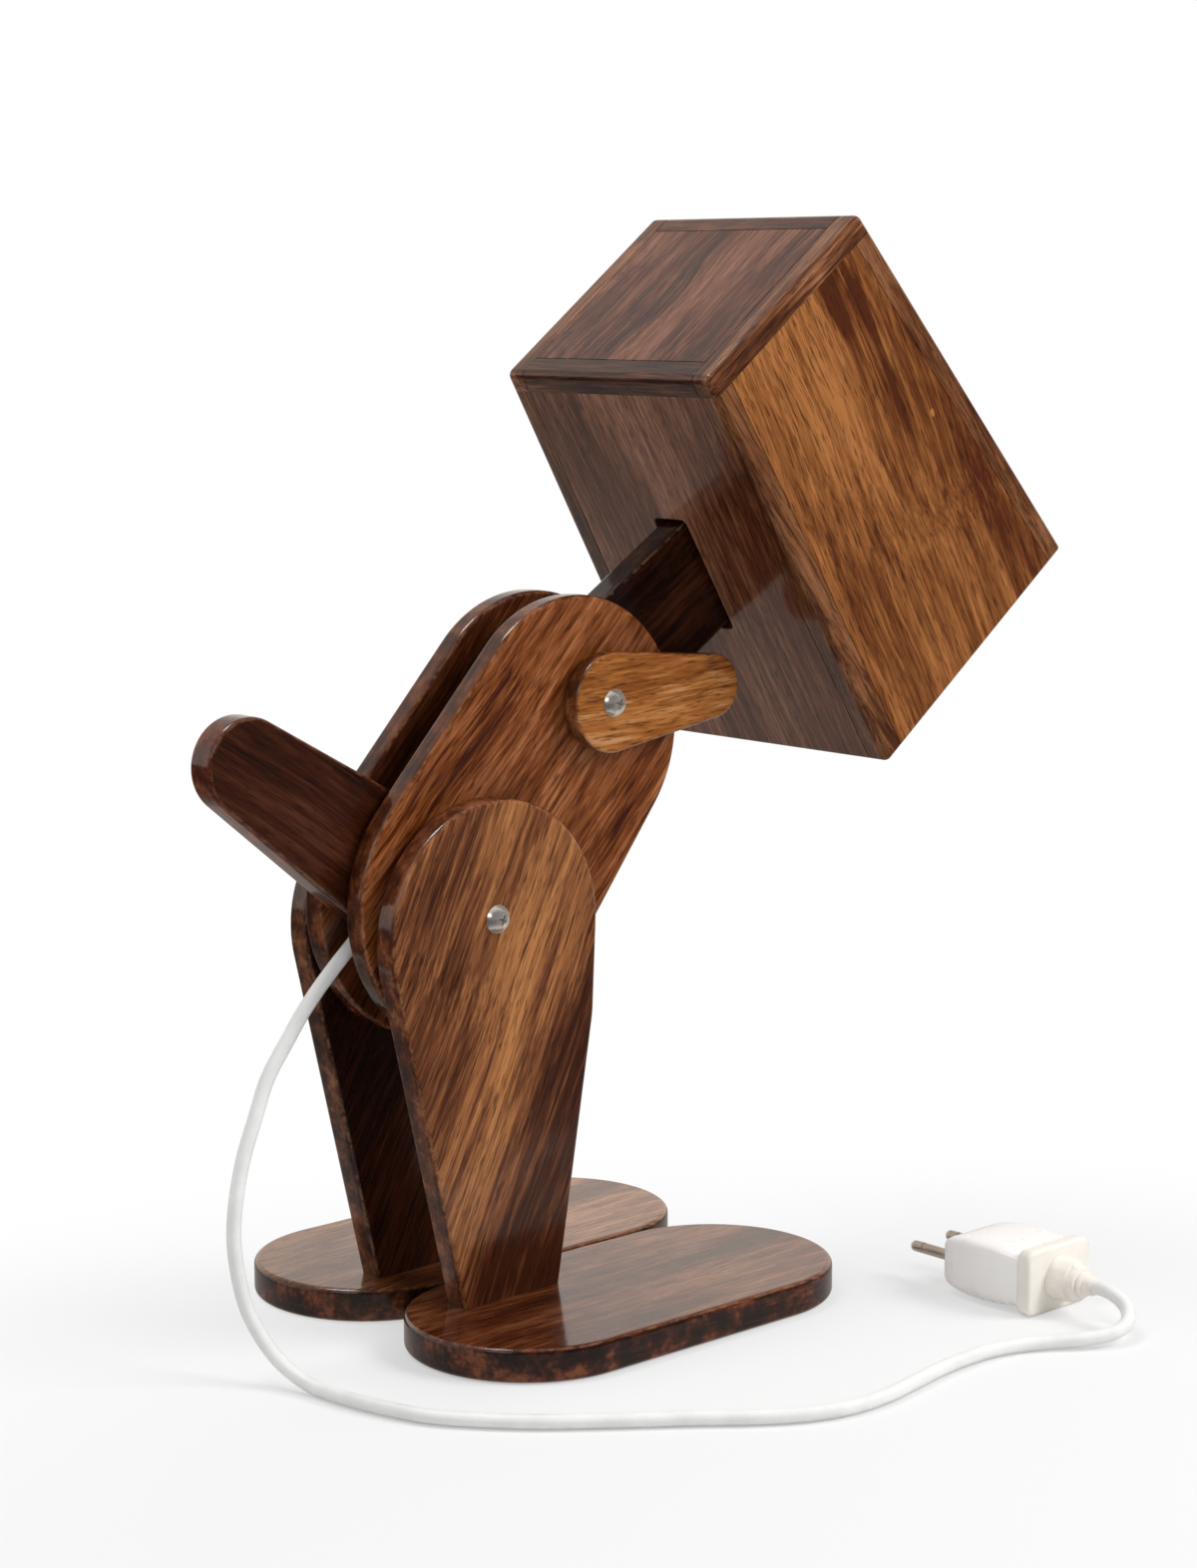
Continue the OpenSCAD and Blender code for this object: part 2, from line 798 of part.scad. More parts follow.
// Nodding pivot on the inner face of the head's underside
module pivot_ears() {
  color("#6b6b6b")
    at_slot() translate([nod_x, 0, 0]) both_sides()
      difference() {
        union() {
          translate([-ear_length / 2, ear_in, ear_base])
            cube([ear_length, ear_thickness, ear_height]);
          difference() {
            translate([0, 0, nod_depth])
              rod(ear_lug, ear_in, ear_out);
            translate([-2 * ear_lug, 0, ear_base - 2 * ear_lug])
              cube([4 * ear_lug, 2 * ear_out, 2 * ear_lug]);
          }
          translate([-ear_lug, ear_in, ear_base])
            cube([2 * ear_lug, ear_thickness, nod_depth - ear_base]);
        }
        translate([0, 0, nod_depth])
          rod(pivot_radius + bore_play, ear_in - over, ear_out + over);
        ear_screw_rods(ear_screw_radius + bore_play);
      }
}

module ear_screw_rods(radius) {
  for (x = [-ear_screw_spacing, ear_screw_spacing])
    translate([x, ear_in + ear_thickness / 2, ear_base + ear_height - ear_screw_length])
      cylinder(r = radius, h = ear_screw_length + over, $fn = 32);
}

module ear_screws() {
  color("silver")
    at_slot() translate([nod_x, 0, 0]) both_sides()
      for (x = [-ear_screw_spacing, ear_screw_spacing])
        translate([x, ear_in + ear_thickness / 2, ear_base + ear_height])
          pan_screw(ear_screw_radius, ear_screw_length);
}

module at_nod() {
  at_slot() translate([nod_x, 0, nod_depth])
    children();
}

module pivot_washers() {
  color("dimgray")
    at_nod() both_sides()
      washer(pivot_washer_radius, pivot_radius + bore_play, neck_thickness / 2, ear_in);
}

module pivot_bolt() {
  color("silver")
    at_nod() {
      translate([0, -ear_out, 0]) rotate([90, 0, 0])
        cylinder(r = pivot_head_radius, h = pivot_head_height, $fn = 6);
      rod(pivot_radius, -ear_out - over / 2, ear_out + pivot_nut_height + over);
    }
}

module pivot_nut() {
  color("silver")
    at_nod() difference() {
      translate([0, ear_out + pivot_nut_height, 0]) rotate([90, 0, 0])
        cylinder(r = pivot_head_radius, h = pivot_nut_height, $fn = 6);
      rod(pivot_radius + bore_play, ear_out - over, ear_out + pivot_nut_height + over);
    }
}

// Head: a frame of rails and posts filled with flush panels, open at the front
module head_side_rails() {
  color("#5a3826")
    in_head() intersection() {
      head_form();
      both_sides()
        head_slab([-over, rail_thickness], [[-1, -over], [-1, post_width]], [[-1, -over], [1, -over]]);
    }
}

module head_cross_rails() {
  color("#5a3826")
    in_head() intersection() {
      head_form();
      for (edge = [[[1, post_width], [1, -over]], [[-1, -over], [-1, post_width]]])
        head_slab([-over, rail_thickness], [[-1, post_width], [1, post_width]], edge);
    }
}

module head_back_panel() {
  color("#5e4034")
    in_head() difference() {
      head_board([-over, panel_thickness], [[-1, post_width], [1, post_width]],
                 [[-1, post_width], [1, post_width]]);
      holder_screw_rods(ear_screw_radius + bore_play, holder_screw_depth);
    }
}

module head_posts() {
  depths = [rail_thickness, head_depth + over];
  color("#4a2c1e")
    in_head() intersection() {
      head_form();
      both_sides() {
        head_slab(depths, [[-1, -over], [-1, post_width]], [[1, post_width], [1, -over]]);
        head_slab(depths, [[-1, -over], [-1, post_width]], [[-1, -over], [-1, post_width]]);
      }
    }
}

module head_top_panel() {
  color("#6a4030")
    in_head()
      head_board([rail_thickness, head_depth + over], [[-1, post_width], [1, post_width]],
                 [[1, panel_thickness], [1, -over]]);
}

module head_bottom_panel() {
  color("#6e5444")
    difference() {
      in_head()
        head_board([rail_thickness, head_depth + over], [[-1, post_width], [1, post_width]],
                   [[-1, -over], [-1, panel_thickness]]);
      at_slot() {
        translate([0, 0, -over])
          linear_extrude(panel_thickness + 2 * over)
            soft_rectangle(slot_length, slot_width, slot_round);
        translate([nod_x, 0, 0]) both_sides()
          ear_screw_rods(ear_screw_radius + bore_play);
      }
    }
}

module head_side_panel() {
  in_head()
    head_board([rail_thickness, head_depth + over], [[-1, -over], [-1, panel_thickness]],
               [[-1, post_width], [1, post_width]]);
}

module head_right_panel() {
  color("#9a6030")
    head_side_panel();
}

module head_left_panel() {
  color("#9a6030") mirror([0, 1, 0])
    head_side_panel();
}

// Light: lamp holder on the back panel, and a bulb with a screw cap
module holder_screw_rods(radius, depth) {
  for (side = [-1, 1])
    translate([panel_thickness - depth, side * holder_screw_place, 0]) rotate([0, 90, 0])
      cylinder(r = radius, h = depth + flange_thickness + over, $fn = 32);
}

module lamp_holder() {
  color("#f2efe6")
    in_head() difference() {
      translate([panel_thickness, 0, 0]) rotate([0, 90, 0]) {
        cylinder(r = holder_flange, h = flange_thickness, $fn = 64);
        cylinder(r = holder_radius, h = holder_length, $fn = 64);
        translate([0, 0, holder_length - holder_bead_place])
          cylinder(r = holder_radius + holder_bead_rise, h = holder_bead_length, $fn = 64);
      }
      translate([holder_front - holder_socket, 0, 0]) rotate([0, 90, 0])
        cylinder(r = holder_bore, h = holder_socket + over, $fn = 64);
      holder_screw_rods(ear_screw_radius + bore_play, holder_screw_depth);
    }
}

module holder_screws() {
  color("silver")
    in_head()
      for (side = [-1, 1])
        translate([panel_thickness + flange_thickness, side * holder_screw_place, 0]) rotate([0, 90, 0])
          pan_screw(ear_screw_radius, flange_thickness + holder_screw_depth);
}

module head_lead() {
  color("#202020")
    tube(head_lead_route, 0, len(head_lead_route) - 1, lead_aside, lead_radius, lead_sides);
}

module bulb_cap() {
  color("#c8c4bc")
    in_head() translate([holder_front - cap_length, 0, 0]) rotate([0, 90, 0]) {
      cylinder(r = cap_radius, h = cap_length, $fn = 48);
      translate([0, 0, -contact_height])
        cylinder(r1 = contact_radius, r2 = contact_foot, h = contact_height, $fn = 32);
    }
}

module bulb_housing() {
  color("white")
    in_head() translate([holder_front, 0, 0]) rotate([0, 90, 0])
      cylinder(r1 = bulb_neck_radius, r2 = rim_radius, h = rim_x - holder_front, $fn = 64);
}

module bulb_globe() {
  color("#fff6e0")
    in_head() translate([globe_x, 0, 0]) rotate([0, 90, 0])
      rotate_extrude($fn = 64)
        intersection() {
          circle(r = globe_radius, $fn = 64);
          translate([0, rim_x - globe_x])
            square([2 * globe_radius, 2 * globe_radius]);
        }
}

// Cord and plug
module cord_drop() {
  color("white")
    tube(cord_route, 0, cord_split, cord_aside, cord_radius, cord_sides);
}

module cord_run() {
  color("white")
    tube(cord_route, cord_split, len(cord_route) - 1, cord_aside, cord_radius, cord_sides);
}

module plug_relief() {
  boss = relief_length / 2 + over;
  color("#f0eee8")
    at_plug() difference() {
      union() {
        cylinder(r = nose_radius, h = nose_length, $fn = 48);
        translate([0, 0, nose_length])
          cylinder(r1 = nose_radius + nose_step, r2 = relief_radius - relief_taper,
                   h = relief_length - boss - nose_length, $fn = 48);
        translate([0, 0, relief_length - boss])
          cylinder(r1 = relief_radius - relief_taper, r2 = relief_radius, h = boss, $fn = 48);
      }
      for (turn = [0:90:270])
        rotate([0, 0, turn + 45])
          translate([relief_radius - relief_slot_depth, -relief_radius / 2,
                     relief_length - boss + relief_slot])
            cube([relief_slot_depth + over, relief_radius, relief_slot]);
    }
}

module plug_cover() {
  color("#f0eee8")
    at_plug() translate([0, 0, relief_length])
      linear_extrude(cover_length)
        soft_rectangle(cover_width, 2 * plug_z, cover_round);
}

// Plug body: round-cornered in plan, and swollen above and below
module plug_body() {
  color("white")
    at_plug() difference() {
      translate([0, 0, relief_length + cover_length]) intersection() {
        linear_extrude(plug_length)
          soft_rectangle(plug_width, plug_height, plug_edge);
        rotate([90, 0, 0])
          linear_extrude(2 * plug_height, center = true)
            translate([0, (plug_length - plug_round) / 2])
              soft_rectangle(plug_width, plug_length + plug_round, plug_round);
        rotate([90, 0, 90])
          linear_extrude(2 * plug_width, center = true)
            intersection_for (side = [-1, 1])
              translate([side * (plug_swell - plug_height / 2), plug_length / 2 - swell_shift])
                circle(r = plug_swell, $fn = 96);
      }
      at_pins() translate([0, 0, -pin_root])
        cylinder(r = pin_root_radius + bore_play, h = pin_root + over, $fn = 32);
    }
}

module at_pins() {
  for (side = [-1, 1])
    translate([side * pin_spacing / 2, 0, plug_front])
      children();
}

module plug_pins() {
  color("silver")
    at_plug() at_pins() {
      translate([0, 0, -pin_root])
        cylinder(r = pin_root_radius, h = pin_root, $fn = 32);
      cylinder(r = pin_radius, h = pin_length - pin_radius, $fn = 32);
      translate([0, 0, pin_length - pin_radius])
        sphere(r = pin_radius, $fn = 32);
    }
}

right_foot();
left_foot();
right_leg();
left_leg();
right_foot_screws();
left_foot_screws();
hip_bolt();
hip_nut();
hip_washers();
tail_washers();
right_side_plate();
left_side_plate();
shoulder_bolt();
shoulder_nut();
arm_washers();
neck_washers();
right_arm();
left_arm();
tail();
switch_housing();
switch_plunger();
switch_dowels();
torso_lead();
neck();
neck_lead();
pivot_ears();
ear_screws();
pivot_washers();
pivot_bolt();
pivot_nut();
head_side_rails();
head_cross_rails();
head_back_panel();
head_posts();
head_top_panel();
head_bottom_panel();
head_right_panel();
head_left_panel();
lamp_holder();
holder_screws();
head_lead();
bulb_cap();
bulb_housing();
bulb_globe();
cord_drop();
cord_run();
plug_body();
plug_cover();
plug_relief();
plug_pins();
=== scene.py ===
import json
import math

import bmesh
import bpy
from mathutils import Euler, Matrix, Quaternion, Vector


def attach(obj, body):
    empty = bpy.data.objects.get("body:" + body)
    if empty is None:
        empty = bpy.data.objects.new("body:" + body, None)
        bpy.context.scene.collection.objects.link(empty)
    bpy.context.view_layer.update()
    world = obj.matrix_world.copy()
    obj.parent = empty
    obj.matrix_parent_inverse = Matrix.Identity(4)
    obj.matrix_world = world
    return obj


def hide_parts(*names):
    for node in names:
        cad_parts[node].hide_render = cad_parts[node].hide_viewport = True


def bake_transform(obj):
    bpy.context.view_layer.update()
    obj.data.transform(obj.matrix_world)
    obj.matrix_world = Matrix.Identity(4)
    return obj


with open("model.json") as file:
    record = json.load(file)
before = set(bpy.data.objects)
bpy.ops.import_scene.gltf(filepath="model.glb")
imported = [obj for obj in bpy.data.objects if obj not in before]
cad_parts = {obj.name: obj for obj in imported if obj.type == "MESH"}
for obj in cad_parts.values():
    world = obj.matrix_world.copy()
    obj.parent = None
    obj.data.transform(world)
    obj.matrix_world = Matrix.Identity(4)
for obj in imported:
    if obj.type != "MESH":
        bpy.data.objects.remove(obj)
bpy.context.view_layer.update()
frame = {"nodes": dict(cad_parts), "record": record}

cadNodes = frame["nodes"]


# ---- small helpers: lengths in millimetres become metres, angles in degrees become radians

def mm(value):
    return value / 1000


def inMetres(*values):
    return tuple(mm(value) for value in values)


def turned(across, up, degrees):
    angle = math.radians(degrees)
    return (across * math.cos(angle) - up * math.sin(angle), across * math.sin(angle) + up * math.cos(angle))


def linearColour(hexCode):
    channels = [int(hexCode[i:i + 2], 16) / 255 for i in (1, 3, 5)]
    return [c / 12.92 if c <= 0.04045 else ((c + 0.055) / 1.055) ** 2.4 for c in channels] + [1.0]


# What the pieces share: places in millimetres, how far they lean in degrees, and the radii of their bores
hip = (-77.417, 147.0)
shoulder = (-19.012, 215.869)
headBack = (35.222, 357.862)
lean = {"torso": 49.7, "neck": 33.0, "arm": 2.0, "tail": 145.5, "switch": 40.0, "head": 52.6}
bores = {"bolt": 3.05, "barrel": 4.25, "pivot": 2.55}


def fromPivot(pivot, across, up, degrees=0.0):
    x, z = turned(across, up, degrees)
    return mm(pivot[0] + x), mm(pivot[1] + z)


def roundsAt(pivot, rounds, degrees=0.0):
    return [(*fromPivot(pivot, across, up, degrees), mm(radius)) for across, up, radius in rounds]


def inHead(depth, side, height):
    tilt = math.radians(lean["head"])
    return Vector((mm(headBack[0] + depth * math.cos(tilt) + height * math.sin(tilt)), mm(side),
                   mm(headBack[1] - depth * math.sin(tilt) + height * math.cos(tilt))))


def addObject(name, data):
    thing = bpy.data.objects.new(name, data)
    bpy.context.scene.collection.objects.link(thing)
    return thing


# ---- camera
cameraSetup = {"place": (-775.8, -855.3, 363.3), "yaw": 47.97, "down": 8.91, "roll": -0.17,
               "focalPixels": 3229.8, "frameHeight": 1572, "sensor": 36.0, "seesFrom": 0.05, "seesTo": 40.0}


def makeCamera(setup):
    yaw, down = math.radians(setup["yaw"]), math.radians(setup["down"])
    view = Vector((math.cos(down) * math.cos(yaw), math.cos(down) * math.sin(yaw), -math.sin(down)))
    roll = Quaternion((0, 0, 1), math.radians(setup["roll"]))
    data = bpy.data.cameras.new("camera")
    data.sensor_fit = "AUTO"
    data.sensor_width = setup["sensor"]
    data.lens = setup["sensor"] * setup["focalPixels"] / setup["frameHeight"]
    data.clip_start, data.clip_end = setup["seesFrom"], setup["seesTo"]
    camera = addObject("camera", data)
    camera.location = inMetres(*setup["place"])
    camera.rotation_mode = "QUATERNION"
    camera.rotation_quaternion = view.to_track_quat("-Z", "Y") @ roll
    bpy.context.scene.camera = camera


makeCamera(cameraSetup)
print("camera placed")


# ---- modelling helpers
# how finely round forms are made; an end up to smallEnd, a radius in mm, gets fewer facets
fineness = {"end": 96, "smallEnd": 8.0, "smallEndFacets": 32, "bore": 48, "lathe": 48, "rimSteps": 6,
            "flatAngle": 0.5}
alongY = (math.pi / 2, 0, 0)
upwards = (0, 0, 0)


def selectNothing():
    if bpy.context.mode != "OBJECT":
        bpy.ops.object.mode_set(mode="OBJECT")
    bpy.ops.object.select_all(action="DESELECT")


def selectAll():
    bpy.ops.mesh.select_all(action="SELECT")


def pick(piece):
    selectNothing()
    bpy.context.view_layer.objects.active = piece
    piece.select_set(True)


def startEditing(piece):
    pick(piece)
    bpy.ops.object.mode_set(mode="EDIT")
    selectAll()


def endEditing():
    # every face is turned to look outwards
    selectAll()
    bpy.ops.mesh.normals_make_consistent(inside=False)
    selectNothing()


def applyPlace():
    bpy.ops.object.transform_apply(location=True, rotation=True, scale=True)


def selectEdges(piece, wanted):
    bpy.ops.mesh.select_mode(type="EDGE")
    bpy.ops.mesh.select_all(action="DESELECT")
    mesh = bmesh.from_edit_mesh(piece.data)
    for edge in mesh.edges:
        if wanted(edge):
            edge.select_set(True)
    bmesh.update_edit_mesh(piece.data)


def cutAway(point, normal):
    selectAll()
    bpy.ops.mesh.bisect(plane_co=point, plane_no=normal, use_fill=True, clear_outer=True)


def roundEdges(width, steps):
    # the selected edges; the width is in mm
    bpy.ops.mesh.bevel(offset_type="OFFSET", offset=mm(width), segments=steps, profile=0.5, affect="EDGES",
                       clamp_overlap=False)


def useModifier(piece, kind, **settings):
    modifier = piece.modifiers.new(kind.lower(), kind)
    for key, value in settings.items():
        setattr(modifier, key, value)
    bpy.context.view_layer.objects.active = piece
    bpy.ops.object.modifier_apply(modifier=modifier.name)


def combine(piece, other, operation="DIFFERENCE"):
    useModifier(piece, "BOOLEAN", object=other, operation=operation, solver="EXACT")
    bpy.data.objects.remove(other)


def settle(piece, smoothAngle):
    pick(piece)
    applyPlace()
    bpy.ops.object.shade_smooth_by_angle(angle=math.radians(smoothAngle))
    useModifier(piece, "WEIGHTED_NORMAL", keep_sharp=True)


def addBox(middle, size, turn=(0, 0, 0)):
    selectNothing()
    bpy.ops.mesh.primitive_cube_add(size=1, location=middle, rotation=turn, scale=size)
    applyPlace()
    return bpy.context.object


def drill(piece, place, radius):
    # A round hole right through, along Y
    selectNothing()
    bpy.ops.mesh.primitive_cylinder_add(vertices=fineness["bore"], radius=mm(radius), depth=mm(200),
                                        location=(place[0], 0, place[1]), rotation=alongY)
    combine(piece, bpy.context.object)


def turnedPiece(name, middle, profile, facets=fineness["lathe"]):
    # As on a lathe: a disc is drawn out along Y, and made wider or narrower at each step of its profile
    x, z = inMetres(*middle)
    start, firstRadius = inMetres(*profile[0])
    selectNothing()
    bpy.ops.mesh.primitive_circle_add(vertices=facets, radius=firstRadius, fill_type="NGON",
                                      location=(x, start, z), rotation=alongY)
    piece = bpy.context.object
    piece.name = piece.data.name = name
    applyPlace()
    startEditing(piece)
    for (place, radius), (nextPlace, nextRadius) in zip(profile, profile[1:]):
        bpy.ops.mesh.extrude_region_move(TRANSFORM_OT_translate={"value": (0, mm(nextPlace - place), 0)})
        share = nextRadius / radius
        bpy.ops.transform.resize(value=(share, 1, share), center_override=(x, 0, z))
    endEditing()
    return piece


def boardFromRounds(name, rounds, thickness, middle, rounding, lying=False, trims=()):
    # A flat board is stretched over its round ends, trimmed, and its rims are rounded over
    selectNothing()
    for number, (across, up, radius) in enumerate(rounds):
        facets = fineness["end" if radius > mm(fineness["smallEnd"]) else "smallEndFacets"]
        bpy.ops.mesh.primitive_cylinder_add(
            vertices=facets, radius=radius, depth=mm(thickness), rotation=upwards if lying else alongY,
            location=(across, up, mm(middle)) if lying else (across, mm(middle), up))
        if number == 0:
            board = bpy.context.object
            bpy.ops.object.mode_set(mode="EDIT")
    board.name = board.data.name = name
    selectAll()
    bpy.ops.mesh.convex_hull()
    selectAll()
    bpy.ops.mesh.dissolve_limited(angle_limit=math.radians(fineness["flatAngle"]))
    pick(board)
    applyPlace()
    startEditing(board)
    for point, normal in trims:
        cutAway(point, normal)
    thin = 2 if lying else 1

    def onRim(edge):
        faces = edge.link_faces
        trimmed = any(all(abs((v.co - Vector(point)).dot(Vector(normal))) < 1e-6 for v in edge.verts)
                      for point, normal in trims)
        flat = [abs(face.normal[thin]) > 0.9 for face in faces]
        return len(faces) == 2 and flat[0] != flat[1] and not trimmed

    selectEdges(board, onRim)
    roundEdges(rounding, fineness["rimSteps"])
    endEditing()
    return board


def sideBoard(name, setup, side, pivot, degrees=0.0, trims=()):
    # One of a pair: side is -1 for the right board and 1 for the left one
    middle = side * (setup["inner"] + setup["thickness"] / 2)
    return boardFromRounds(name, roundsAt(pivot, setup["rounds"], degrees), setup["thickness"], middle,
                           setup["rounding"], trims=trims)


def finishPiece(piece, body, slot, material, *nodes, smoothAngle=40.0):
    settle(piece, smoothAngle)
    piece.data.materials.clear()
    piece.data.materials.append(material)
    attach(piece, body)
    if nodes:
        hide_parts(*nodes)
    return piece


# ---- materials

def newMaterial(name):
    material = bpy.data.materials.new(name)
    material.use_nodes = True
    tree = material.node_tree
    return material, tree, tree.nodes["Principled BSDF"]


def feed(tree, node, **sockets):
    # A socket gets either a value or the output of another node; i0 is a node's first input
    for key, value in sockets.items():
        numbered = key[0] == "i" and key[1:].isdigit()
        socket = node.inputs[int(key[1:]) if numbered else key.replace("_", " ")]
        if isinstance(value, bpy.types.NodeSocket):
            tree.links.new(value, socket)
        else:
            socket.default_value = value


def addNode(tree, kind, settings=None, **sockets):
    node = tree.nodes.new("ShaderNode" + kind)
    for key, value in (settings or {}).items():
        setattr(node, key, value)
    feed(tree, node, **sockets)
    return node


def calculate(tree, operation, *values, kind="Math"):
    inputs = {"i" + str(number): value for number, value in enumerate(values)}
    node = addNode(tree, kind, {"operation": operation}, **inputs)
    return node.outputs["Value" if operation in ("DOT_PRODUCT", "DISTANCE") else 0]


def vectorMath(tree, operation, *values):
    return calculate(tree, operation, *values, kind="VectorMath")


def mapRange(tree, value, fromLow, fromHigh, toLow=0.0, toHigh=1.0, smooth=False):
    return addNode(tree, "MapRange", {"interpolation_type": "SMOOTHSTEP" if smooth else "LINEAR"}, Value=value,
                   From_Min=fromLow, From_Max=fromHigh, To_Min=toLow, To_Max=toHigh).outputs[0]


def noise(tree, vector, size, detail, **sockets):
    # its features are about a size, in mm
    return addNode(tree, "TexNoise", Vector=vector, Scale=1000 / size, Detail=detail, **sockets).outputs


def ramp(tree, value, stops, interpolation="LINEAR"):
    # a stop's colour is a hex code, a grey or four linear channels
    node, stops = addNode(tree, "ValToRGB", Fac=value), list(stops)
    elements = node.color_ramp.elements
    node.color_ramp.interpolation = interpolation
    while len(elements) < len(stops):
        elements.new(0.5)
    for element, (place, colour) in zip(elements, stops):
        if isinstance(colour, str):
            colour = linearColour(colour)
        element.position = place
        element.color = colour if isinstance(colour, list) else [colour, colour, colour, 1.0]
    return node.outputs[0]


def mixColours(tree, share, first, second):
    return addNode(tree, "Mix", {"data_type": "RGBA"}, i0=share, i6=first, i7=second).outputs[2]


def bumps(tree, height, depth, strength):
    return addNode(tree, "Bump", Strength=strength, Distance=mm(depth), Height=height).outputs[0]


# Five shades of a wood, from its darkest lines to its lightest, stand at these places of a ramp. The others
# turn noise into pores and patches, and how far a face turns away into rims and into pale arrises, which are
# partly real scuffing and partly a painted highlight
shadePlaces = (0.12, 0.36, 0.5, 0.64, 0.88)
poreStops = [(0.56, 0.0), (0.66, 1.0)]
arrisHighlightStops = [(0.5, 0.0), (0.72, 1.0), (0.84, 1.0), (0.95, 0.0)]
rimPlaces = (0.35, 0.97)
patchPlaces = (0.45, 0.62)
cloudPlaces = (0.3, 0.7)
heartReach = 80


def lacqueredRosewood(name, look):
    # Rosewood boards, planed, sanded and brushed with clear lacquer: growth zones of golden and dark brown,
    # thin dark lines and short open pores along the grain, dark end grain on the rims, arrises scuffed pale
    # here and there, partly as real scuffing and partly as a painted highlight, and over all of it a smooth
    # coat that mirrors its surroundings
    material, tree, shader = newMaterial(name)
    coords = addNode(tree, "TexCoord")
    turn = [math.radians(v) for v in look["grain"]]
    grainFrame = addNode(tree, "Mapping", {"vector_type": "TEXTURE"}, Vector=coords.outputs["Object"],
                         Location=look["centre"], Rotation=turn).outputs[0]
    # The grain wanders: its lines bend a few millimetres over a board's length
    drift = noise(tree, grainFrame, look["driftLength"], 1.0, Roughness=0.4)["Color"]
    centred = vectorMath(tree, "SUBTRACT", drift, (0.5, 0.5, 0.5))
    wander = vectorMath(tree, "MULTIPLY", centred, inMetres(0.0, look["drift"], look["drift"]))
    bent = vectorMath(tree, "ADD", grainFrame, wander)

    def alongGrain(layer, detail, **sockets):
        # noise with features of a width across the grain, drawn out along it
        squeezed = vectorMath(tree, "MULTIPLY", bent, (1 / look[layer + "Stretch"], 1.0, 1.0))
        return noise(tree, squeezed, look[layer + "Width"], detail, **sockets)["Fac"]

    layers = {"zones": alongGrain("zone", 1.0),
              "bands": alongGrain("band", 3.0, Distortion=0.25),
              "lines": alongGrain("line", 3.0, Roughness=0.6, Distortion=0.15),
              "fibres": alongGrain("fibre", 2.0, Roughness=0.6)}
    if look["heart"]:
        # the light heart of the board lies where this ramp across the grain puts it
        across = addNode(tree, "SeparateXYZ", Vector=bent).outputs["Z"]
        stops = [((away + heartReach) / (2 * heartReach), shade) for away, shade in look["heart"]]
        layers["heart"] = ramp(tree, mapRange(tree, across, mm(-heartReach), mm(heartReach)), stops, "EASE")
    mixed = 0.0
    intoGrain = Euler(turn).to_matrix().inverted()
    for place, radius, stretch, strength in look["spots"]:
        # a knot or a flame of dark wood, drawn out along the grain
        spot = intoGrain @ (Vector(place) - Vector(look["centre"]))
        drawn = vectorMath(tree, "MULTIPLY", bent, (1 / stretch, 1, 1))
        far = vectorMath(tree, "DISTANCE", drawn, (spot.x / stretch, spot.y, spot.z))
        mixed = calculate(tree, "ADD", mapRange(tree, far, 0.0, mm(radius), strength, 0.0, smooth=True), mixed)
    shares = {layer: look[layer + "Share"] for layer in layers}
    for layer, share in shares.items():
        mixed = calculate(tree, "MULTIPLY_ADD", layers[layer], share, mixed)
    middle = sum(shares.values()) / 2
    grainShares = [share for layer, share in shares.items() if layer != "heart"]
    reach = look["spread"] * math.sqrt(sum(share * share for share in grainShares))
    level = mapRange(tree, mixed, middle - reach, middle + reach)
    face = ramp(tree, level, zip(shadePlaces, look["face"]))
    pores = ramp(tree, alongGrain("pore", 1.0), poreStops)
    poreDepth = calculate(tree, "MULTIPLY", pores, look["pores"])
    pored = mixColours(tree, poreDepth, face, linearColour(look["pore"]))
    # Rims and ends drink more stain: they're darker and redder than the faces
    facing = calculate(tree, "ABSOLUTE", vectorMath(tree, "DOT_PRODUCT", coords.outputs["Normal"],
                                                    look["faceNormal"]))
    rimMask = mapRange(tree, facing, *rimPlaces, look["rimShare"], 0.0, smooth=True)
    clouds = noise(tree, bent, look["cloudWidth"], 3.0, Roughness=0.6)["Fac"]
    rimLevel = calculate(tree, "MULTIPLY_ADD", clouds, look["rimPatches"], -look["rimPatches"] / 2)
    rimLevel = calculate(tree, "MULTIPLY_ADD", level, 0.5, rimLevel)
    rimFace = ramp(tree, calculate(tree, "ADD", rimLevel, 0.25), zip(shadePlaces, look["rim"]))
    stained = mixColours(tree, rimMask, pored, rimFace)
    # the arrises get a pale colour in broken patches: partly real scuffing, partly a painted highlight along
    # each arris
    patches = noise(tree, coords.outputs["Object"], look["patchWidth"], 3.0)["Fac"]
    patches = ramp(tree, patches, zip(patchPlaces, (0.0, look["wear"])))
    rubbedAndHighlit = calculate(tree, "MULTIPLY", ramp(tree, facing, arrisHighlightStops), patches)
    whole = mixColours(tree, rubbedAndHighlit, stained, linearColour(look["wornAndHighlit"]))
    polish = mapRange(tree, clouds, *cloudPlaces, look["roughness"] - 0.06, look["roughness"] + 0.08)
    height = calculate(tree, "MULTIPLY_ADD", pores, -0.7, layers["fibres"])
    # The lacquer levels out over the grain, and shows its brush marks and the deepest pores only faintly
    brushed = calculate(tree, "MULTIPLY_ADD", layers["lines"], 0.5, height)
    feed(tree, shader, Base_Color=whole, Roughness=polish, IOR=1.5, Specular_IOR_Level=look["sheen"],
         Normal=bumps(tree, height, look["grainDepth"], 0.4), Coat_Weight=look["lacquer"], Coat_IOR=1.5,
         Coat_Normal=bumps(tree, brushed, look["brushDepth"], look["ripple"]),
         Coat_Roughness=look["lacquerRoughness"])
    return material


